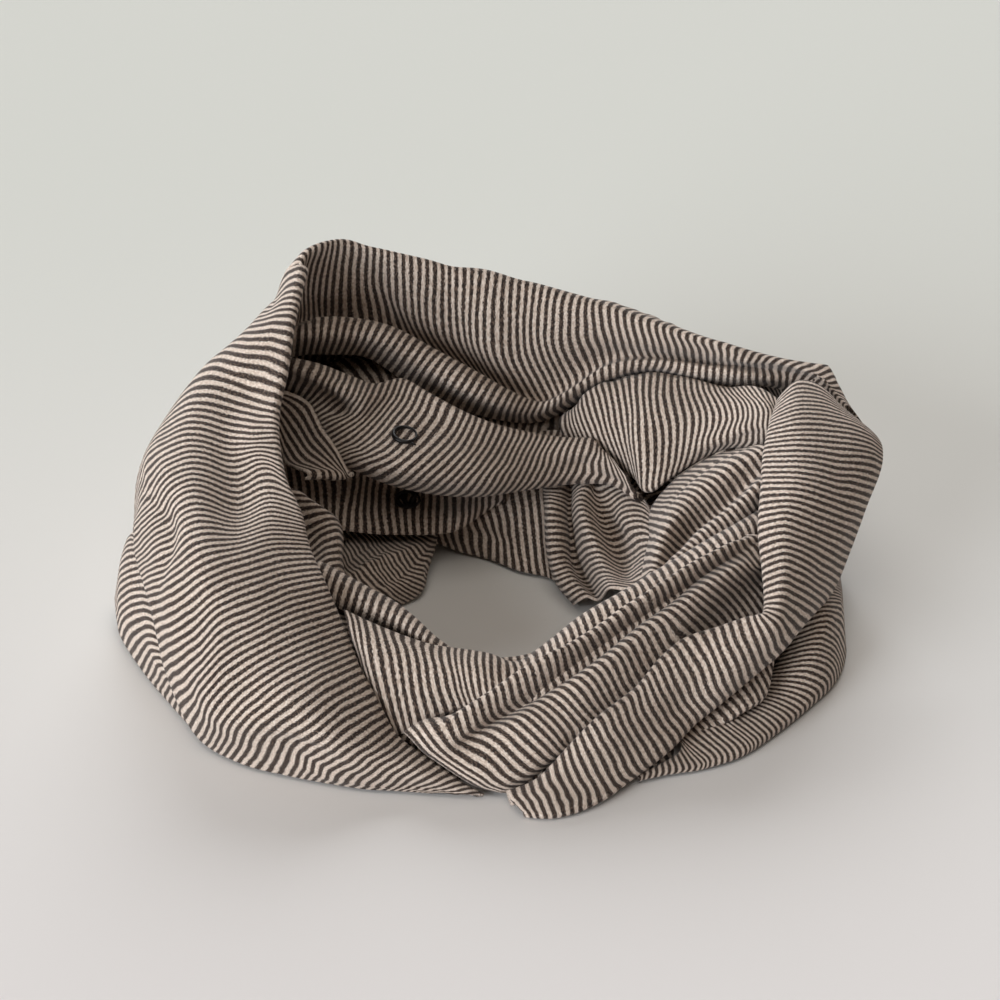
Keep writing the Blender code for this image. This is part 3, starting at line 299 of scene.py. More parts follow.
# Band behind the snap flap that carries the lower snap, with a free hem.
# top, upper, lower, hem
SNAP_BAND = [
    [(-95,57,60), (-93,54,48), (-91,50,38), (-88,48,28)],
    [(-79,60,56), (-78,55,46), (-77,46,38), (-75,39,30)],
    [(-68,62,52), (-68,57,43), (-67,47,36), (-67,40,27)],
    [(-57,66,47), (-57,60,38), (-58,48,33), (-59,40,25)],
    [(-46,68,42), (-48,62,33), (-48,51,29), (-47,42,22)],
    [(-35,69,38), (-36,63,31), (-36,51,28), (-35,43,21)],
    [(-24,67,36), (-24,61,30), (-24,50,28), (-24,43,21)],
    [(-12,67,34), (-11,60,29), (-11,49,28), (-12,42,24)],
    [(-1,66,34), (0,61,30), (0,57,27), (-1,55,24)],
    [(10,65,34), (9,62,31), (9,60,29), (8,58,28)],
]

# Bunched cloth at the left of the neck opening.
# root, left, fold, slope, edge
INNER_BUNCH = [
    [(-29,66,9), (-28,62,10), (-25,58,11), (-23,56,12), (-21,60,9)],
    [(-38,64,10), (-34,57,11), (-30,47,14), (-26,43,13), (-23,49,8)],
    [(-47,63,10), (-42,53,12), (-36,39,16), (-30,34,13), (-25,38,6)],
    [(-56,60,12), (-50,47,14), (-44,25,20), (-36,19,15), (-27,26,4)],
    [(-60,42,16), (-55,24,20), (-48,10,22), (-41,12,13), (-34,20,2)],
    [(-61,17,24), (-56,2,26), (-51,-1,22), (-46,7,12), (-41,16,2)],
]

# Two ridges that run down from the right panel towards the neck opening.
# left, first, valley, second, right
RIGHT_INNER_ROLL = [
    [(64,-21,36), (67,-30,46), (69,-27,40), (71,-35,48), (75,-37,45)],
    [(66,-6,40), (70,-21,51), (73,-16,44), (75,-28,54), (79,-29,50)],
    [(69,13,40), (72,-13,54), (79,-6,44), (81,-22,56), (86,-21,50)],
    [(70,30,42), (79,1,58), (86,5,46), (89,-14,60), (94,-17,54)],
    [(76,39,46), (88,10,63), (96,10,52), (99,-6,64), (104,-8,57)],
    [(85,44,52), (98,14,69), (105,16,58), (108,-1,70), (112,1,61)],
    [(97,47,58), (108,19,74), (113,18,67), (115,4,76), (120,8,66)],
    [(109,47,62), (118,22,78), (122,21,72), (123,10,79), (128,14,70)],
]

# Three hanging folds at the right of the neck opening.
# left, fold_1, fold_1_right, gap_1, fold_2, gap_2, fold_3, hollow, right
INNER_RIGHT_FOLDS = [
    [(25,67,32), (28,62,34), (32,63,34), (37,67,30), (41,63,35),
     (48,62,34), (53,55,39), (61,54,36), (70,38,40)],
    [(26,59,26), (28,51,31), (32,52,29), (36,59,22), (41,47,35),
     (50,50,27), (56,37,41), (65,36,39), (73,24,40)],
    [(26,51,18), (28,39,25), (32,39,25), (37,50,16), (43,32,33),
     (54,40,22), (61,22,42), (68,20,39), (72,8,38)],
    [(27,43,10), (29,27,20), (33,30,19), (38,38,10), (47,19,29),
     (57,21,22), (65,5,42), (70,0,42), (73,-8,40)],
    [(30,35,3), (32,19,14), (36,20,15), (42,25,8), (50,4,28),
     (59,0,28), (65,-9,43), (69,-14,44), (73,-18,43)],
    [(38,18,2), (40,8,11), (43,8,13), (47,7,12), (52,-12,31),
     (59,-19,36), (65,-24,46), (70,-27,47), (73,-29,46)],
]

# Band at the back of the neck opening.
# top, upper, lower, foot
INNER_BACK_BAND = [
    [(-29,68,30), (-26,58,22), (-24,56,10), (-21,55,2)],
    [(-16,67,30), (-13,57,22), (-11,56,10), (-9,57,2)],
    [(-3,66,30), (-1,58,23), (2,53,12), (3,52,2)],
    [(9,67,31), (11,59,25), (13,51,11), (15,43,2)],
    [(20,68,34), (22,60,26), (24,49,11), (26,39,2)],
    [(30,69,33), (31,62,22), (31,49,8), (31,35,2)],
]

# Layer that comes out below the left panel.
# top, edge, belly, foot
LEFT_UNDER = [
    [(-128,50,46), (-142,50,34), (-148,50,18), (-148,50,2)],
    [(-134,30,48), (-147,30,36), (-152,28,18), (-152,28,2)],
    [(-135,-31,58), (-146,5,46), (-152,22,26), (-156,8,2)],
    [(-128,-41,50), (-140,-14,44), (-151,-1,30), (-157,17,4)],
    [(-127,-51,40), (-137,-35,36), (-148,-18,20), (-153,-2,2)],
    [(-122,-65,30), (-133,-50,26), (-138,-38,12), (-141,-29,2)],
    [(-115,-78,20), (-121,-67,16), (-125,-59,8), (-126,-55,2)],
    [(-105,-92,12), (-110,-82,9), (-112,-79,5), (-113,-76,2)],
]

# Layer between the right panel and the one on the surface.
# top, upper, lower, edge
RIGHT_FOLD = [
    [(115,-45,30), (116,-47,27), (117,-49,24), (117,-50,22)],
    [(106,-54,26), (110,-58,19), (113,-63,14), (112,-62,11)],
    [(99,-61,22), (103,-65,16), (106,-70,13), (105,-69,11)],
    [(90,-69,17), (94,-73,12), (96,-77,9), (95,-76,7)],
    [(81,-76,13), (84,-80,9), (87,-84,7), (86,-83,5)],
]

# Lowest layer on the right, on the surface.
# top, upper, belly, foot
RIGHT_UNDER = [
    [(136,58,30), (146,60,26), (151,61,12), (150,60,2)],
    [(137,28,32), (146,28,26), (150,28,12), (148,28,2)],
    [(131,-24,30), (141,-21,30), (148,-9,21), (150,1,2)],
    [(126,-34,22), (139,-33,26), (146,-25,13), (149,-21,2)],
    [(118,-44,14), (133,-46,19), (142,-40,9), (143,-39,2)],
    [(112,-52,9), (124,-56,10), (131,-57,6), (131,-56,2)],
    [(104,-62,7), (112,-69,7), (117,-73,5), (117,-73,2)],
    [(95,-74,6), (101,-84,5), (102,-87,4), (101,-89,2)],
    [(82,-86,5), (85,-93,4), (86,-95,3), (85,-97,2)],
    [(70,-96,4), (70,-100,4), (70,-101,3), (68,-101,2)],
    [(60,-102,3), (59,-103,3), (58,-105,2), (58,-106,2)],
]


# Stretches from the top of the heap down: name, sections, turned first edge, turned last edge, and the
# stretches that it is drawn in under.  A turned edge is (radius of the turn, length that lies back below).
STRETCHES = [
    ("right_wrap", RIGHT_WRAP, (2.4, 8), (1.6, 5), ()),
    ("back_wrap", BACK_WRAP, (2.6, 8), None, ()),
    ("left_wrap", LEFT_WRAP, (2.0, 8), None, ()),
    ("front_sheet", FRONT_SHEET, (1.8, 4), (1.6, 4), ("right_wrap",)),
    ("front_tuck", FRONT_TUCK, None, None, ("left_wrap",)),
    ("front_roll", FRONT_ROLL, None, None, ("left_wrap", "front_tuck")),
    ("small_flap", SMALL_FLAP, None, (1.6, 4), ("back_wrap", "left_wrap")),
    ("snap_flap", SNAP_FLAP, (2.2, 6), (1.6, 5), ("back_wrap", "left_wrap", "small_flap")),
    ("pouch", POUCH, None, (1.8, 5), ("back_wrap", "right_wrap")),
    ("inner_left_roll", INNER_LEFT_ROLL, None, None, ("left_wrap",)),
    ("snap_band", SNAP_BAND, None, None, ("left_wrap", "small_flap", "snap_flap")),
    ("inner_bunch", INNER_BUNCH, None, None, ("inner_left_roll", "front_roll")),
    ("right_inner_roll", RIGHT_INNER_ROLL, None, None,
     ("right_wrap", "front_sheet", "front_tuck", "pouch")),
    ("inner_right_folds", INNER_RIGHT_FOLDS, None, None,
     ("snap_flap", "front_tuck", "right_inner_roll", "pouch")),
    ("inner_back_band", INNER_BACK_BAND, None, None, ("snap_band", "inner_right_folds", "snap_flap")),
    ("left_under", LEFT_UNDER, None, None, ("left_wrap",)),
    ("right_fold", RIGHT_FOLD, None, None, ("right_wrap",)),
    ("right_under", RIGHT_UNDER, None, None, ("right_wrap", "right_fold")),
]

# Stations where the stripes keep their true pitch, by stretch: (up to this station, as measured there)
TRUE_AT = {
    "right_wrap": [(0, 1.5)], "back_wrap": [(2.1, 1), (2.9, 5)], "left_wrap": [(0, 2.5)],
    "front_roll": [(0, 3)], "snap_flap": [(0, 3)], "pouch": [(0.5, 0.5), (3.6, 3.6)],
    "inner_left_roll": [(0, 3)], "right_inner_roll": [(0, 3)], "inner_right_folds": [(0, 4)],
    "inner_back_band": [(0, 1)], "left_under": [(0, 1)], "right_fold": [(0, 1)], "right_under": [(0, 1)],
}
TRUE_ELSEWHERE = [(0, 2)]

# Up to this section, all the lines of a stretch share one pitch, so that its stripes run straight across
JOINED = {"back_wrap": 8, "pouch": 3}

# How far the knit is stretched along the loop: (section, share)
STRETCH = {
    "left_wrap": [(0, 1.1), (2, 1.05), (3, 1.35), (4, 1.35), (5, 0.98), (8, 0.88), (9, 0.82), (11, 1.0)],
    "back_wrap": [(0, 0.95), (6, 0.97), (12, 0.95), (17, 0.85)],
    "right_wrap": [(0, 0.95), (4, 0.85), (7, 1.0), (16, 1.05)],
    "pouch": [(0, 0.85)],
    "right_inner_roll": [(0, 0.82)],
    "right_under": [(0, 0.75)],
    "snap_flap": [(0, 0.8), (5, 0.85), (8, 1.1)],
}


# Creases and soft rolls that the tables are too coarse for, by stretch.  Each runs through three places,
# given as (section, station), with its half width and its height; a trough has a negative height.
CREASES = {
    "right_wrap": [
        ((1.6, 2.2), (3.0, 2.4), (4.6, 2.6), 7.0, -1.0),
        ((0.5, 3.4), (2.0, 3.5), (3.2, 3.6), 5.0, 0.9),
        ((4.2, 1.4), (5.4, 1.6), (6.4, 1.8), 3.0, -0.7),
        ((10.2, 1.9), (11.6, 2.0), (13.0, 2.1), 4.0, -0.8),
    ],
    "back_wrap": [
        ((11.1, 4.9), (11.0, 4.4), (10.6, 3.7), 6.0, -1.4),
        ((9.8, 4.9), (9.7, 4.3), (9.5, 3.6), 7.0, 1.0),
        ((13.4, 4.9), (13.5, 4.4), (13.2, 3.8), 5.0, -1.0),
        ((1.6, 5.8), (2.6, 6.5), (2.3, 7.8), 7.5, -3.6),
        ((4.4, 7.8), (5.1, 6.7), (6.9, 5.8), 7.0, 4.4),
        ((6.0, 7.9), (7.2, 6.9), (9.2, 5.9), 6.5, -5.4),
        ((9.0, 7.8), (10.1, 6.7), (10.3, 5.9), 8.0, 3.6),
        ((10.9, 5.9), (11.8, 6.8), (13.6, 7.8), 7.0, -5.2),
        ((13.9, 5.9), (14.4, 6.7), (14.1, 7.7), 5.5, 3.4),
        ((15.7, 6.0), (16.0, 6.8), (15.4, 7.7), 6.0, -3.6),
        ((3.2, 7.2), (6.4, 7.5), (10.6, 7.2), 5.5, 3.2),
    ],
    "left_wrap": [
        ((5.3, 5.2), (7.4, 4.3), (8.7, 5.9), 5.0, -2.4),
        ((4.6, 4.4), (6.4, 3.6), (8.2, 3.4), 6.0, 1.6),
        ((3.0, 1.6), (5.0, 2.0), (7.0, 2.0), 6.0, -1.5),
        ((3.0, 3.0), (3.7, 1.7), (4.1, 0.7), 2.5, -0.9),
        ((10.9, 4.2), (12.0, 3.0), (13.3, 3.2), 2.5, -1.3),
        ((1.5, 4.2), (2.3, 5.0), (3.2, 6.0), 6.0, -1.8),
        ((3.5, 4.6), (4.2, 5.2), (4.6, 5.8), 5.0, 1.3),
    ],
    "front_tuck": [
        ((0.1, 2.1), (1.8, 2.0), (3.3, 1.4), 3.0, -0.9),
        ((0.5, 3.2), (1.6, 3.0), (2.6, 3.3), 5.0, 0.8),
    ],
    "snap_flap": [
        ((1.6, 2.2), (3.5, 2.2), (4.7, 1.7), 3.5, -2.0),
        ((1.0, 0.8), (2.8, 0.9), (4.2, 0.6), 3.0, 0.9),
        ((5.0, 3.4), (6.0, 3.7), (6.9, 3.9), 2.2, -1.0),
        ((5.3, 3.9), (6.2, 4.2), (7.2, 4.4), 2.0, 0.9),
        ((8.3, 2.5), (9.6, 2.2), (10.8, 2.6), 4.0, -0.8),
    ],
    "pouch": [
        ((6.3, 2.6), (7.0, 3.1), (7.9, 2.6), 2.5, -1.5),
        ((5.0, 3.2), (6.2, 3.0), (7.2, 2.2), 3.0, 1.0),
        ((2.0, 3.0), (2.4, 2.0), (2.6, 0.8), 5.0, -1.0),
    ],
    "inner_bunch": [
        ((4.9, 1.0), (3.2, 2.0), (1.2, 2.4), 2.4, -2.6),
        ((4.9, 0.4), (3.6, 1.0), (2.2, 1.2), 2.0, 1.2),
        ((4.6, 3.6), (4.1, 2.8), (3.9, 1.6), 1.8, -1.6),
        ((4.8, 2.2), (3.0, 3.0), (1.0, 3.4), 2.2, 1.6),
        ((3.4, 3.9), (2.2, 3.6), (0.6, 3.9), 1.8, -1.6),
    ],
    "right_inner_roll": [
        ((6.6, 0.5), (4.3, 0.5), (1.8, 0.5), 2.2, -1.4),
    ],
    "inner_right_folds": [
        ((0.2, 3.0), (2.5, 3.0), (4.8, 3.0), 2.5, -1.5),
        ((0.3, 5.2), (2.0, 5.3), (3.8, 5.4), 6.0, -3.0),
    ],
    "inner_back_band": [
        ((0.2, 1.8), (2.5, 1.9), (4.8, 1.9), 4.0, -3.0),
    ],
    "left_under": [
        ((1.2, 1.2), (3.0, 1.3), (5.0, 1.4), 3.0, -1.0),
    ],
    "right_under": [
        ((1.4, 1.4), (3.2, 1.3), (5.2, 1.4), 3.0, -1.0),
    ],
}


def unit(v):
    return v / np.maximum(np.linalg.norm(v, axis=-1, keepdims=True), TINY)


def square_to(grid):
    """Unit normals of a grid of points."""
    return unit(np.cross(np.gradient(grid, axis=0), np.gradient(grid, axis=1)))


def strides(grid, axis):
    """Distances between neighbouring points of a grid."""
    return np.linalg.norm(np.diff(grid, axis=axis), axis=-1)


def spline(points, counts):
    """Smooth curve through points along the first axis, with counts[k] steps in span k."""
    before = 2 * points[0] - points[1]
    after = 2 * points[-1] - points[-2]
    p = np.concatenate([before[None], points, after[None]])
    gap = np.sqrt(np.maximum(np.linalg.norm(np.diff(p, axis=0), axis=-1, keepdims=True), SHORTEST))
    out = []
    for k, steps in enumerate(counts):
        p0, p1, p2, p3 = p[k:k + 4]
        d0, d1, d2 = gap[k:k + 3]
        leave = d1 * ((p1 - p0) / d0 - (p2 - p0) / (d0 + d1) + (p2 - p1) / d1)
        arrive = d1 * ((p2 - p1) / d1 - (p3 - p1) / (d1 + d2) + (p3 - p2) / d2)
        for i in range(steps):
            t = i / steps
            out.append((2 * t**3 - 3 * t**2 + 1) * p1 + (t**3 - 2 * t**2 + t) * leave
                       + (3 * t**2 - 2 * t**3) * p2 + (t**3 - t**2) * arrive)
    out.append(points[-1])
    return np.array(out)


def steps_for(points, cell):
    """Steps in each span along the first axis, so that a step is about one cell long."""
    return [max(1, round(span / cell)) for span in strides(points, 0).mean(axis=1)]


def on_line(p, line):
    """Point, at the same angle, of a line that runs round the heap."""
    angle = np.degrees(np.arctan2(p[..., 1], p[..., 0])) % 360
    table = np.array(line)
    radius = np.interp(angle, table[:, 0], table[:, 1])
    height = np.interp(angle, table[:, 0], table[:, 2])
    angle = np.radians(angle)
    return np.stack([radius * np.cos(angle), radius * np.sin(angle), height], axis=-1)


def ring_middle(p):
    return on_line(p, RING_MIDDLE)


def winding(grid):
    """1 where the normals of a grid point out of the heap, or -1."""
    outward = unit(grid - ring_middle(grid))
    return 1 if (square_to(grid) * outward).sum() > 0 else -1


def turn_under(grid, side, radius, tail):
    """Add columns before the first one: the cloth rolls over and lies back below itself."""
    normals = square_to(grid) * side
    edge = grid[:, 0]
    back = unit(grid[:, 1] - edge)
    added = []
    for k in range(1, TURN_STEPS + 1):
        a = math.pi * k / TURN_STEPS
        added.append(edge - normals[:, 0] * radius * (1 - math.cos(a)) - back * radius * math.sin(a))
    below = grid - normals * 2 * radius
    run = strides(grid, 1).mean(axis=0).cumsum()
    for k in range(1, grid.shape[1] - 1):
        if run[k - 1] > tail:
            break
        added.append(below[:, k])
    return np.concatenate([np.stack(added[::-1], axis=1), grid], axis=1)


def sheet_grid(sections, first, last):
    """Grid of points through the sections, with its turned edges, the way its cells wind, and the
    section and station that each of its points lies at."""
    table = np.array(sections, float)
    stations = np.swapaxes(table, 0, 1)
    over = steps_for(stations, CELL)
    across = np.swapaxes(spline(stations, over), 0, 1)
    along = steps_for(across, CELL)
    grid = spline(across, along)
    side = winding(grid)
    section = np.concatenate([k + np.arange(n) / n for k, n in enumerate(along)] + [[len(along)]])
    station = np.concatenate([k + np.arange(n) / n for k, n in enumerate(over)] + [[len(over)]])
    if first:
        before = grid.shape[1]
        grid = turn_under(grid, side, *first)
        station = np.concatenate([np.full(grid.shape[1] - before, -1.0), station])
    if last:
        before = grid.shape[1]
        grid = turn_under(grid[:, ::-1], -side, *last)[:, ::-1]
        station = np.concatenate([station, np.full(grid.shape[1] - before, station[-1] + 1.0)])
    grid[..., 2] = np.maximum(grid[..., 2], REST)
    return grid, side, section, station


def around(field):
    """Mean of each point of a grid and its neighbours."""
    pad = np.pad(field, ((1, 1), (1, 1), (0, 0)), mode="edge")
    rows, cols = field.shape[:2]
    return sum(pad[a:a + rows, b:b + cols] for a in range(3) for b in range(3)) / 9


def spread(drop):
    """Soften a field of small shifts, so that none gets smaller."""
    wide = drop
    for _ in range(2):
        wide = np.maximum(drop, around(wide[..., None])[..., 0])
    return wide


def lay_under(grid, above):
    """Draw a stretch in towards the middle of the ring, where cloth above it is in the way."""
    middle = ring_middle(grid)
    away = np.linalg.norm(grid - middle, axis=-1)
    out = unit(grid - middle)
    drop = np.zeros(away.shape)
    for place in np.ndindex(away.shape):
        ray = Vector(out[place])
        hit, face, _, far = above.ray_cast(Vector(middle[place] * MM), ray)
        if hit is None:
            continue
        slope = max(STEEP, abs(face.dot(ray)))
        over = away[place] - (far / MM - LAY / slope)
        if 0 < over < REACH:
            drop[place] = over
    return grid - out * spread(drop)[..., None]


def wall_faces(rows, cols, side):
    """Faces of a closed wall round a grid: front, back and rim."""
    index = np.arange(rows * cols).reshape(rows, cols)
    front = np.stack([index[:-1, :-1], index[1:, :-1], index[1:, 1:], index[:-1, 1:]], axis=-1)
    front = front.reshape(-1, 4)[:, ::side]
    back = front[:, [0, 3, 2, 1]] + rows * cols
    rim = np.concatenate([index[:, 0], index[-1, 1:], index[-2::-1, -1], index[0, -2:0:-1]])
    after = np.roll(rim, -1)
    edge = np.stack([rim, rim + rows * cols, after + rows * cols, after], axis=-1)[:, ::side]
    return halves(np.concatenate([front, back, edge]))


def halves(quads):
    """Two triangles for each four-sided face."""
    quads = np.asarray(quads)
    return np.concatenate([quads[:, [0, 1, 2]], quads[:, [0, 2, 3]]]).tolist()


def wall_points(grid, side, thick=CLOTH):
    """Points of the front and back of the wall round a grid."""
    normals = square_to(grid) * side
    both = np.concatenate([grid + normals * thick / 2, grid - normals * thick / 2])
    return both.reshape(-1, 3) * MM


def join(points, faces, more_points, more_faces):
    """Add a part to the lists of a mesh."""
    faces += [[i + len(points) for i in face] for face in more_faces]
    points += more_points.tolist()


def tree_of(points, faces):
    return BVHTree.FromPolygons([Vector(p) for p in points], faces)


def ease(grid, side):
    """Open the folds that are tighter than the wall is thick, until the wall is clear of itself."""
    rows, cols = grid.shape[:2]
    faces = wall_faces(rows, cols, side)
    for _ in range(EASE_ROUNDS):
        wall = tree_of(wall_points(grid, side, CLOTH + GAP), faces)
        tight = np.zeros(rows * cols)
        for one, other in wall.overlap(wall):
            if one < other and not set(faces[one]) & set(faces[other]):
                tight[[i % (rows * cols) for i in faces[one] + faces[other]]] = 1
        if not tight.any():
            break
        share = around(tight.reshape(rows, cols)[..., None]) > 0
        grid = grid + np.where(share, EASE_SHARE, 0.0) * (around(grid) - grid)
    return grid


def settle(grid, side, above):
    """Lower the cells that still cross cloth above, a little at a time, until none does."""
    rows, cols = grid.shape[:2]
    faces = wall_faces(rows, cols, side)
    out = unit(grid - ring_middle(grid))
    for _ in range(SETTLE_ROUNDS):
        crossing = tree_of(wall_points(grid, side, CLOTH + 2 * GAP), faces).overlap(above)
        if not crossing:
            break
        drop = np.zeros(rows * cols)
        for mine, _ in crossing:
            drop[[i % (rows * cols) for i in faces[mine]]] = SETTLE_STEP
        grid = grid - out * spread(drop.reshape(rows, cols))[..., None]
        grid[..., 2] = np.maximum(grid[..., 2], REST)
    return grid


def nestle(grid, side, above):
    """Move a stretch bodily towards the cloth above it, until the two all but touch."""
    own = wall_points(grid, side)
    hits = [above.find_nearest(Vector(p)) for p in own]
    nearest = min(range(len(own)), key=lambda i: hits[i][3])
    gap = hits[nearest][3] / MM
    if not NESTLED < gap < NESTLE_REACH:
        return grid
    way = (np.array(hits[nearest][0]) - own[nearest]) / MM
    grid = grid + way * (gap - NESTLED) / gap
    grid[..., 2] = np.maximum(grid[..., 2], REST)
    return grid


def tube_faces(spans, rings, sides):
    """Faces between the rings of a tube, which is closed if it has as many spans as rings."""
    faces = []
    for i, k in np.ndindex(spans, sides):
        j, m = (i + 1) % rings, (k + 1) % sides
        faces.append([i * sides + k, j * sides + k, j * sides + m, i * sides + m])
    return faces


def core_ring(cloth):
    """The hidden layers as one rounded ring that fills the heap below the cloth, flat below."""
    angles = np.radians(np.arange(CORE_AROUND) * 360 / CORE_AROUND)
    turns = np.radians(np.arange(CORE_SIDES) * 360 / CORE_SIDES)
    outward = np.stack([np.cos(angles), np.sin(angles), 0 * angles], axis=-1)
    middle = on_line(outward, CORE_LINE)
    ray = outward[:, None] * np.cos(turns)[:, None] + np.array([0, 0, 1]) * np.sin(turns)[:, None]
    floor = middle[:, None, 2] / np.maximum(-ray[..., 2], CORE_LEVEL)
    round_off = 1 / np.hypot(np.cos(turns) / CORE_WIDE, np.sin(turns) / CORE_HIGH)
    reach = np.minimum(round_off, floor)
    for i, k in np.ndindex(reach.shape):
        far = cloth.ray_cast(Vector(middle[i] * MM), Vector(ray[i, k]))[3]
        if far is not None:
            reach[i, k] = min(reach[i, k], far / MM - CORE_CLEAR)
    for _ in range(CORE_ROUNDS):
        for axis in (0, 1):
            near = np.minimum(np.roll(reach, 1, axis=axis), np.roll(reach, -1, axis=axis))
            reach = np.minimum(reach, np.where(ray[..., 2] < -CORE_BELOW, reach, near + CORE_EVEN))
    faces = halves(tube_faces(CORE_AROUND, CORE_AROUND, CORE_SIDES))
    for _ in range(SETTLE_ROUNDS):
        points = (middle[:, None] + ray * reach[..., None]).reshape(-1, 3) * MM
        crossing = tree_of(points, faces).overlap(cloth)
        if not crossing:
            break
        for mine, _ in crossing:
            for i in faces[mine]:
                reach.flat[i] = max(CORE_THIN, reach.flat[i] - CORE_STEP)
    return points, faces


def back_outside(rim):
    """Crown, belly and foot below a rim point, on the outer side of the back."""
    rim = np.array(rim, float)
    angle = math.degrees(math.atan2(rim[1], rim[0]))
    angles, feet, bellies = zip(*BACK_OUTSIDE)
    belly_radius = np.interp(angle, angles, bellies)
    out = unit(np.array([rim[0], rim[1], 0.0]))
    spare = max(BACK_OUT, belly_radius - np.linalg.norm(rim[:2]))
    crown = rim + out * CROWN_OUT * spare - np.array([0, 0, CROWN_DROP])
    belly = out * belly_radius + np.array([0, 0, BELLY_UP * rim[2]])
    foot = out * np.interp(angle, angles, feet) + np.array([0, 0, FOOT_UP])
    return [tuple(crown), tuple(belly), tuple(foot)]


def whole_sections():
    """The tables, with the back's outer side added and the left panel joined on to it."""
    whole = {name: sections for name, sections, *_ in STRETCHES}
    back = [row + back_outside(row[-1]) for row in BACK_WRAP]
    outer = np.array(back[-1][len(BACK_WRAP[-1]) - 1:], float)
    seam = spline(outer, [SEAM_SPLIT] * (len(outer) - 1))
    onward = unit(np.array(LEFT_WRAP[0], float) - seam)
    seam = [tuple(p) for p in seam + onward * SEAM]
    whole["back_wrap"] = back
    whole["left_wrap"] = [seam] + LEFT_WRAP
    return whole


def finer(grid, section, station):
    """The same surface with each cell split, for creases and knit."""
    rows, cols = grid.shape[:2]
    grid = spline(grid, [FINE] * (rows - 1))
    grid = np.swapaxes(spline(np.swapaxes(grid, 0, 1), [FINE] * (cols - 1)), 0, 1)
    section = np.interp(np.arange(grid.shape[0]) / FINE, range(len(section)), section)
    station = np.interp(np.arange(grid.shape[1]) / FINE, range(len(station)), station)
    return grid, section, station


def place_on(grid, section, station, place):
    """Point of the surface at a section and station."""
    row = np.interp(place[0], section, range(len(section)))
    col = np.interp(place[1], station, range(len(station)))
    a, b = int(row), int(col)
    a, b = min(a, len(section) - 2), min(b, len(station) - 2)
    s, t = row - a, col - b
    return ((1 - s) * ((1 - t) * grid[a, b] + t * grid[a, b + 1])
            + s * ((1 - t) * grid[a + 1, b] + t * grid[a + 1, b + 1]))


def creased(grid, side, section, station, creases):
    """Raise soft rolls and press soft troughs into the surface, each fading out at its ends."""
    lift = np.zeros(grid.shape[:2])
    for first, middle, last, half_width, height in creases:
        ends = [place_on(grid, section, station, p) for p in (first, middle, last)]
        path = spline(np.array(ends), [CREASE_STEPS] * 2)
        far = np.linalg.norm(grid[:, :, None] - path, axis=-1)
        nearest = far.argmin(axis=-1)
        fade = np.sin(np.pi * np.clip(nearest / (2 * CREASE_STEPS), CREASE_END, 1 - CREASE_END)) ** 0.5
        lift += height * fade * np.exp(-(far.min(axis=-1) / half_width) ** 2)
    normals = square_to(grid) * side
    return grid + normals * lift[..., None]


def cloth_places(name, grid, section, station):
    """Distance along the loop and across the band of each point, in metres of unstretched cloth."""
    stretch = np.array(STRETCH.get(name, [(0, 1.0)]), float)
    knit = np.interp((section[1:] + section[:-1]) / 2, stretch[:, 0], stretch[:, 1])
    true_at = TRUE_AT.get(name, TRUE_ELSEWHERE)
    columns = [round(float(np.interp(at, station, range(len(station))))) for _, at in true_at]
    steps = strides(grid[:, columns], 0) / knit[:, None]
    joined = section[1:] <= JOINED.get(name, 0)
    steps[joined] = steps[joined].mean(axis=1, keepdims=True)
    lines = np.concatenate([np.zeros((1, len(columns))), steps.cumsum(axis=0)]).T
    places = [place for place, _ in true_at]
    across = strides(grid, 1).mean(axis=0)
    u = np.array([[np.interp(at, places, line) for at in station] for line in lines.T])
    v = np.broadcast_to(np.concatenate([[0], across.cumsum()]), u.shape)
    return np.stack([u, v], axis=-1).reshape(-1, 2) * MM


def placed(name, data):
    thing = bpy.data.objects.new(name, data)
    bpy.context.scene.collection.objects.link(thing)
    return thing


def add_piece(name, points, faces, places, material):
    """Mesh object in the model's frame, with the cloth's own coordinates as its UV layer."""
    mesh = bpy.data.meshes.new(name)
    mesh.from_pydata((np.array(points) - np.array(HEAP_CENTRE) * MM).tolist(), [], faces)
    mesh.materials.append(material)
    mesh.shade_smooth()
    if places is not None:
        layer = mesh.uv_layers.new(name="cloth")
        corners = np.zeros(len(mesh.loops), int)
        mesh.loops.foreach_get("vertex_index", corners)
        layer.data.foreach_set("uv", np.array(places)[corners].ravel())
    mesh.update()
    return placed(name, mesh)


class Nodes:
    """Short calls for the nodes of one material."""

    def __init__(self, name):
        self.material = bpy.data.materials.new(name)
        self.material.use_nodes = True
        self.tree = self.material.node_tree
        self.shader = self.tree.nodes["Principled BSDF"]

    def add(self, kind, inputs=(), **settings):
        node = self.tree.nodes.new(kind)
        for key, value in settings.items():
            setattr(node, key, value)
        for socket, value in dict(inputs).items():
            self.put(value, node.inputs[socket])
        return node

    def put(self, value, socket):
        if isinstance(value, bpy.types.NodeSocket):
            self.tree.links.new(value, socket)
        else:
            socket.default_value = value

    def math(self, operation, a, b=0.0, c=0.0):
        return self.add("ShaderNodeMath", {0: a, 1: b, 2: c}, operation=operation).outputs[0]

    def noise(self, vector, scale, detail=2.0, rough=0.5):
        return self.add("ShaderNodeTexNoise", {"Vector": vector, "Scale": scale, "Detail": detail,
                                               "Roughness": rough}).outputs["Fac"]

    def mix(self, share, a, b):
        node = self.add("ShaderNodeMix", data_type="RGBA")
        self.put(share, node.inputs[0])
        self.put(a, node.inputs[6])
        self.put(b, node.inputs[7])
        return node.outputs[2]

    def ramp(self, value, low, high):
        node = self.add("ShaderNodeMapRange", {"Value": value, "From Min": low, "From Max": high})
        node.interpolation_type = "SMOOTHSTEP"
        return node.outputs[0]

    def shaded(self, **looks):
        """Set the shader's sockets, named with _ for a space, and give the material."""
        for socket, value in looks.items():
            self.put(value, self.shader.inputs[socket.replace("_", " ")])
        return self.material


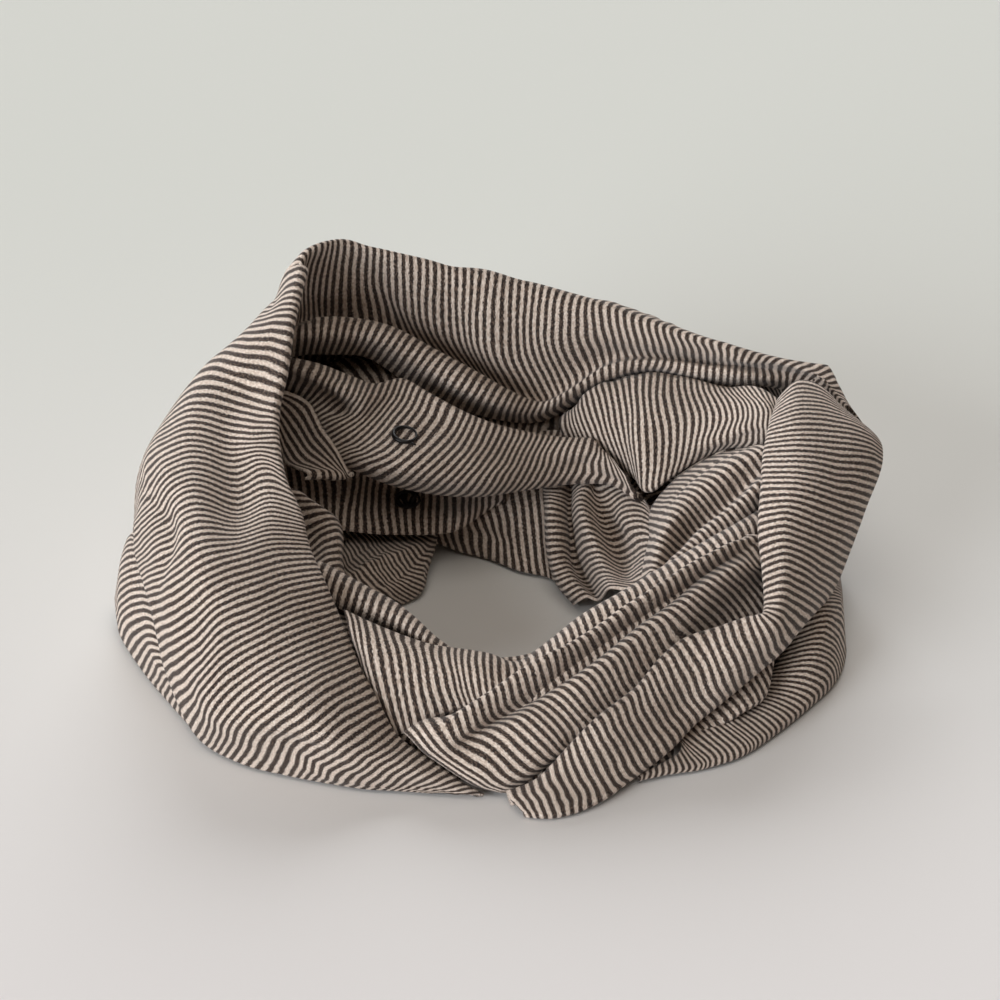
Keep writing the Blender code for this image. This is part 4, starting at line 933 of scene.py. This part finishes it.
PITCH = 3.55           # one dark and one light stripe
DARK_SHARE = 0.54      # of the pitch that is dark
LIGHT_YARN = (0.53, 0.425, 0.352, 1)
PALE_FLECK = (0.77, 0.675, 0.60, 1)
DARK_YARN = (0.022, 0.015, 0.013, 1)
DARK_FLECK = (0.13, 0.09, 0.07, 1)
SWAY = (0.0018, 70.0)  # the stripes wander: how far, in metres, and how often in a metre
RAGGED = (1.1, 1150.0)  # their edges are ragged: how much, and how often in a metre
SOFT = 0.14            # half width of a stripe's edge, as a share of half the pitch
FLECKS = 950.0         # flecks of the dark yarn in a metre
FLECK_EDGE = (0.47, 0.62)  # noise from none to full
PALE_FLECKS = 750.0    # flecks of the light yarn in a metre
PALE_EDGE = (0.3, 0.7)
SLUB = (2.0, 0.7)      # finer detail of the yarn and its share
STITCH = 1.9           # the yarn is this much finer along the loop than across
COURSE = 0.0007        # rows of knit, in metres
WALE = 0.0009          # columns of knit, in metres
KNIT_HEIGHT = 0.2      # rows and columns of knit in the relief, against 1 for its fuzz
FUZZ = (900.0, 3.0, 0.6)  # how often in a metre, finer detail and its share
NEXT_STRETCH = 0.37    # metres of knit between one stretch and the next

# Black enamel of the snaps, with lighter specks that are painted highlights: small glints on the rings
ENAMEL = (0.006, 0.005, 0.005, 1)
GLINT_ENAMEL = (0.03, 0.026, 0.024, 1)
GLINT_SPECKS = (900.0, 3.0)    # how often in a metre, and finer detail
GLINT_EDGE = (0.62, 0.78)  # noise from none to full

# Floor paper, painted paler and pinker near the camera and darker and greener further back: painted light,
# where less light falls on the far floor
NEAR_PAPER = (0.80, 0.78, 0.78, 1)
FAR_PAPER = (0.71, 0.73, 0.695, 1)
PAPER_EDGE = (-0.35, 0.45)  # from the near colour to the far one, along Y in metres


def striped_jersey():
    n = Nodes("heather_jersey")
    place = n.add("ShaderNodeUVMap", uv_map="cloth").outputs[0]
    split = n.add("ShaderNodeSeparateXYZ", {0: place})
    u, v = split.outputs[0], split.outputs[1]
    sway = n.noise(place, SWAY[1], 1.0)
    sway = n.math("MULTIPLY", n.math("SUBTRACT", sway, 0.5), SWAY[0])
    along = n.math("DIVIDE", n.math("ADD", u, sway), PITCH * MM)
    wave = n.math("MULTIPLY", n.math("PINGPONG", along, 0.5), 2.0)
    stitch = n.add("ShaderNodeCombineXYZ", {0: n.math("MULTIPLY", u, STITCH), 1: v}).outputs[0]
    ragged = n.math("SUBTRACT", n.noise(stitch, RAGGED[1], *SLUB), 0.5)
    edge = n.math("ADD", wave, n.math("MULTIPLY", ragged, RAGGED[0]))
    light = n.ramp(edge, DARK_SHARE - SOFT, DARK_SHARE + SOFT)
    flecks = n.ramp(n.noise(stitch, FLECKS, *SLUB), *FLECK_EDGE)
    dark = n.mix(flecks, DARK_YARN, DARK_FLECK)
    pale = n.mix(n.ramp(n.noise(stitch, PALE_FLECKS, 1.0), *PALE_EDGE), LIGHT_YARN, PALE_FLECK)
    colour = n.mix(light, dark, pale)
    course = n.math("SINE", n.math("MULTIPLY", u, 2 * math.pi / COURSE))
    wale = n.math("SINE", n.math("MULTIPLY", v, 2 * math.pi / WALE))
    knit = n.math("MULTIPLY", n.math("ADD", course, wale), KNIT_HEIGHT)
    height = n.math("ADD", knit, n.noise(stitch, *FUZZ))
    bump = n.add("ShaderNodeBump", {"Height": height, "Strength": 0.5, "Distance": 0.0004})
    return n.shaded(Base_Color=colour, Roughness=0.92, Specular_IOR_Level=0.25, Sheen_Weight=0.12,
                    Sheen_Roughness=0.5, Normal=bump.outputs[0])


def black_enamel():
    n = Nodes("black_enamel")
    place = n.add("ShaderNodeTexCoord").outputs["Object"]
    # lighter specks over the black: painted highlights
    colour = n.mix(n.ramp(n.noise(place, *GLINT_SPECKS), *GLINT_EDGE), ENAMEL, GLINT_ENAMEL)
    return n.shaded(Base_Color=colour, Roughness=0.3, Specular_IOR_Level=0.3)


def floor_paper():
    n = Nodes("floor_paper")
    place = n.add("ShaderNodeTexCoord").outputs["Object"]
    y = n.add("ShaderNodeSeparateXYZ", {0: place}).outputs[1]
    # paler near, darker far: painted light
    colour = n.mix(n.ramp(y, *PAPER_EDGE), NEAR_PAPER, FAR_PAPER)
    return n.shaded(Base_Color=colour, Roughness=0.85, Specular_IOR_Level=0.2)


def dress():
    """Lay every stretch, from the top of the heap down, then the layers below them all."""
    sections = whole_sections()
    jersey = striped_jersey()
    points, faces, walls = [], [], {}
    for number, (name, _, first, last, under) in enumerate(STRETCHES):
        grid, side, section, station = sheet_grid(sections[name], first, last)
        grid = ease(grid, side)
        for upper in under:
            grid = lay_under(grid, walls[upper])
        if points:
            above = tree_of(points, faces)
            if under:
                grid = nestle(grid, side, above)
            grid = settle(grid, side, above)
        grid = ease(grid, side)
        grid, section, station = finer(grid, section, station)
        grid = creased(grid, side, section, station, CREASES.get(name, ()))
        places = cloth_places(name, grid, section, station)
        own_points = wall_points(grid, side)
        own_faces = wall_faces(*grid.shape[:2], side)
        both = np.concatenate([places, places]) + np.array([NEXT_STRETCH * number, 0])
        piece = add_piece("cloth_" + name, own_points, own_faces, both, jersey)
        walls[name] = tree_of(own_points, own_faces)
        join(points, faces, own_points, own_faces)
        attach(piece, "root")
        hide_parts(name)
    return tree_of(points, faces), walls, jersey


def hidden_layers(cloth, jersey):
    """The layers below those that show: a tube of the same cloth, flat where it rests."""
    outer, ring_faces = core_ring(cloth)
    outer = np.array(outer)
    centre = on_line(outer / MM, CORE_LINE) * MM
    arm = outer - centre
    inner = centre + arm * (1 - CLOTH * MM / np.linalg.norm(arm, axis=-1, keepdims=True))
    count = len(outer)
    radius, width = CORE_KNIT
    u = np.repeat(np.arange(CORE_AROUND) * 2 * math.pi * radius / CORE_AROUND, CORE_SIDES)
    places = np.stack([u, np.tile(np.arange(CORE_SIDES) * width, CORE_AROUND)], axis=-1)
    points = np.concatenate([outer, inner])
    faces = ring_faces + [[i + count for i in face[::-1]] for face in ring_faces]
    piece = add_piece("cloth_hidden_layers", points, faces, np.concatenate([places, places]), jersey)
    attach(piece, "root")
    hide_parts("hidden_layers")


# Ring of a snap
SNAP_WIDE = 11.2       # outer diameter
SNAP_WIRE = 1.6        # thickness of its wire
SNAP_CLEAR = 0.35      # above the cloth
SNAP_SWELL = 0.35      # share by which the wire is thicker on one side
SNAP_SWELL_AT = 0.2    # where, in radians from the side towards the top
SNAP_SIDES = 40
SNAP_PROBE = 10.0      # height over the cloth from which it is felt for
PRONG_FLAT = 0.6       # thickness of a prong for its width

# Snaps: node, the stretch that carries it, the place it is nearest to, and its prongs: a line in
# millimetres across and up the snap, and its width
SNAPS = [
    ("snap_upper", "snap_flap", (-33, 39, 78), [
        ([(0.2, -5.0), (0.0, -6.2), (-0.7, -7.8)], 0.9),
    ]),
    ("snap_lower", "snap_band", (-33, 55, 33), [
        ([(-4.6, 4.2), (-3.0, 2.4), (-1.0, -1.6), (0.2, -3.6)], 2.2),
        ([(3.4, 4.0), (2.4, 1.4), (1.0, -2.0), (0.2, -3.6)], 1.9),
    ]),
]

# Daylight: strength, spread in degrees, colour, way that it travels
WINDOWS = [
    ("window_left", 2.8, 40, (0.94, 0.97, 1.0), (0.72, 0.65, -0.26)),
    ("window_side", 0.5, 40, (1.0, 0.985, 0.98), (0.98, 0.0, -0.21)),
    ("window_back", 1.8, 40, (0.97, 0.985, 1.0), (0.0, -0.87, -0.5)),
    ("window_corner", 0.5, 40, (0.97, 0.985, 1.0), (0.61, -0.61, -0.5)),
    ("ceiling", 0.7, 40, (1.0, 0.95, 0.88), (0.0, 0.42, -0.91)),
]


def rod(path, radii, up, sides=10, flat=1.0):
    """Closed or open round bar through the points of a path, in millimetres, as points and faces."""
    path = np.array(path, float)
    closed = np.allclose(path[0], path[-1])
    if closed:
        path = path[:-1]
    ahead = np.roll(path, -1, axis=0) - np.roll(path, 1, axis=0)
    if not closed:
        ahead[0], ahead[-1] = path[1] - path[0], path[-1] - path[-2]
    ahead = unit(ahead)
    out = unit(np.cross(ahead, np.array(up, float)))
    lift = unit(np.cross(out, ahead)) * flat
    turns = np.arange(sides) * 2 * math.pi / sides
    radii = np.broadcast_to(radii, len(path))
    arms = out[:, None] * np.cos(turns)[:, None] + lift[:, None] * np.sin(turns)[:, None]
    rings = path[:, None] + arms * radii[:, None, None]
    faces = tube_faces(len(path) if closed else len(path) - 1, len(path), sides)
    if not closed:
        faces.append(list(range(sides)))
        faces.append([(len(path) - 1) * sides + k for k in range(sides)][::-1])
    return rings.reshape(-1, 3), faces


def snaps(walls):
    """Enamelled snaps, each a sprung ring that lies on the cloth with the prongs of its socket."""
    enamel = black_enamel()
    for name, carrier, place, prongs in SNAPS:
        spot, normal, _, _ = walls[carrier].find_nearest(Vector(place) * MM)
        sideways = normal.cross(Vector((0, 0, 1))).normalized()
        upward = sideways.cross(normal).normalized()
        base = np.array(spot) / MM
        side, rise, out = np.array(sideways), np.array(upward), np.array(normal)
        turns = np.arange(SNAP_SIDES + 1) * 2 * math.pi / SNAP_SIDES
        radius = SNAP_WIDE / 2 - SNAP_WIRE / 2
        arms = side * np.cos(turns)[:, None] + rise * np.sin(turns)[:, None]
        heights = []
        for arm in arms[:-1]:
            start = Vector((base + arm * radius + out * SNAP_PROBE) * MM)
            far = walls[carrier].ray_cast(start, -normal)[3]
            heights.append(SNAP_PROBE - far / MM if far is not None else 0.0)
        base = base + out * (max(heights) + SNAP_CLEAR + SNAP_WIRE / 2)
        thick = SNAP_WIRE / 2 * (1 + SNAP_SWELL * np.cos(turns[:-1] - SNAP_SWELL_AT))
        parts = [rod(base + arms * radius, thick, up=out)]
        for path, wide in prongs:
            line = [base + side * x + rise * y for x, y in path]
            parts.append(rod(line, wide / 2, flat=PRONG_FLAT, up=out))
        points, faces = [], []
        for part in parts:
            join(points, faces, *part)
        piece = add_piece("enamelled_" + name, np.array(points) * MM, faces, None, enamel)
        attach(piece, "root")
        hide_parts(name)


def stage():
    mesh = bpy.data.meshes.new("floor")
    corners = [(-FLOOR, -FLOOR, 0), (FLOOR, -FLOOR, 0), (FLOOR, FLOOR, 0), (-FLOOR, FLOOR, 0)]
    mesh.from_pydata(corners, [], [(0, 1, 2, 3)])
    mesh.materials.append(floor_paper())
    floor = placed("floor", mesh)
    world = bpy.data.worlds.new("soft_room")
    world.use_nodes = True
    sky = world.node_tree.nodes["Background"]
    sky.inputs[0].default_value = SKY
    sky.inputs[1].default_value = SKY_STRENGTH
    bpy.context.scene.world = world
    for name, energy, spread, colour, way in WINDOWS:
        lamp = bpy.data.lights.new(name, "SUN")
        lamp.energy = energy
        lamp.angle = math.radians(spread)
        lamp.color = colour
        placed(name, lamp).rotation_euler = Vector(way).to_track_quat("-Z", "Y").to_euler()
    bpy.context.scene.view_settings.view_transform = "Standard"
    lens = bpy.data.cameras.new("camera")
    lens.lens = LENS
    lens.sensor_width = FILM
    camera = placed("camera", lens)
    rise = math.radians(CAMERA_RISE)
    back = Vector((0, -math.cos(rise), math.sin(rise))) * CAMERA_FAR
    above = Vector((0, math.sin(rise), math.cos(rise))) * VIEW_UP
    camera.location = (back + above + Vector((VIEW_RIGHT, 0, 0)) - Vector(HEAP_CENTRE)) * MM
    camera.rotation_euler = (math.pi / 2 - rise, 0, 0)
    bpy.context.scene.camera = camera


stage()
cloth, walls, jersey = dress()
hidden_layers(cloth, jersey)
snaps(walls)
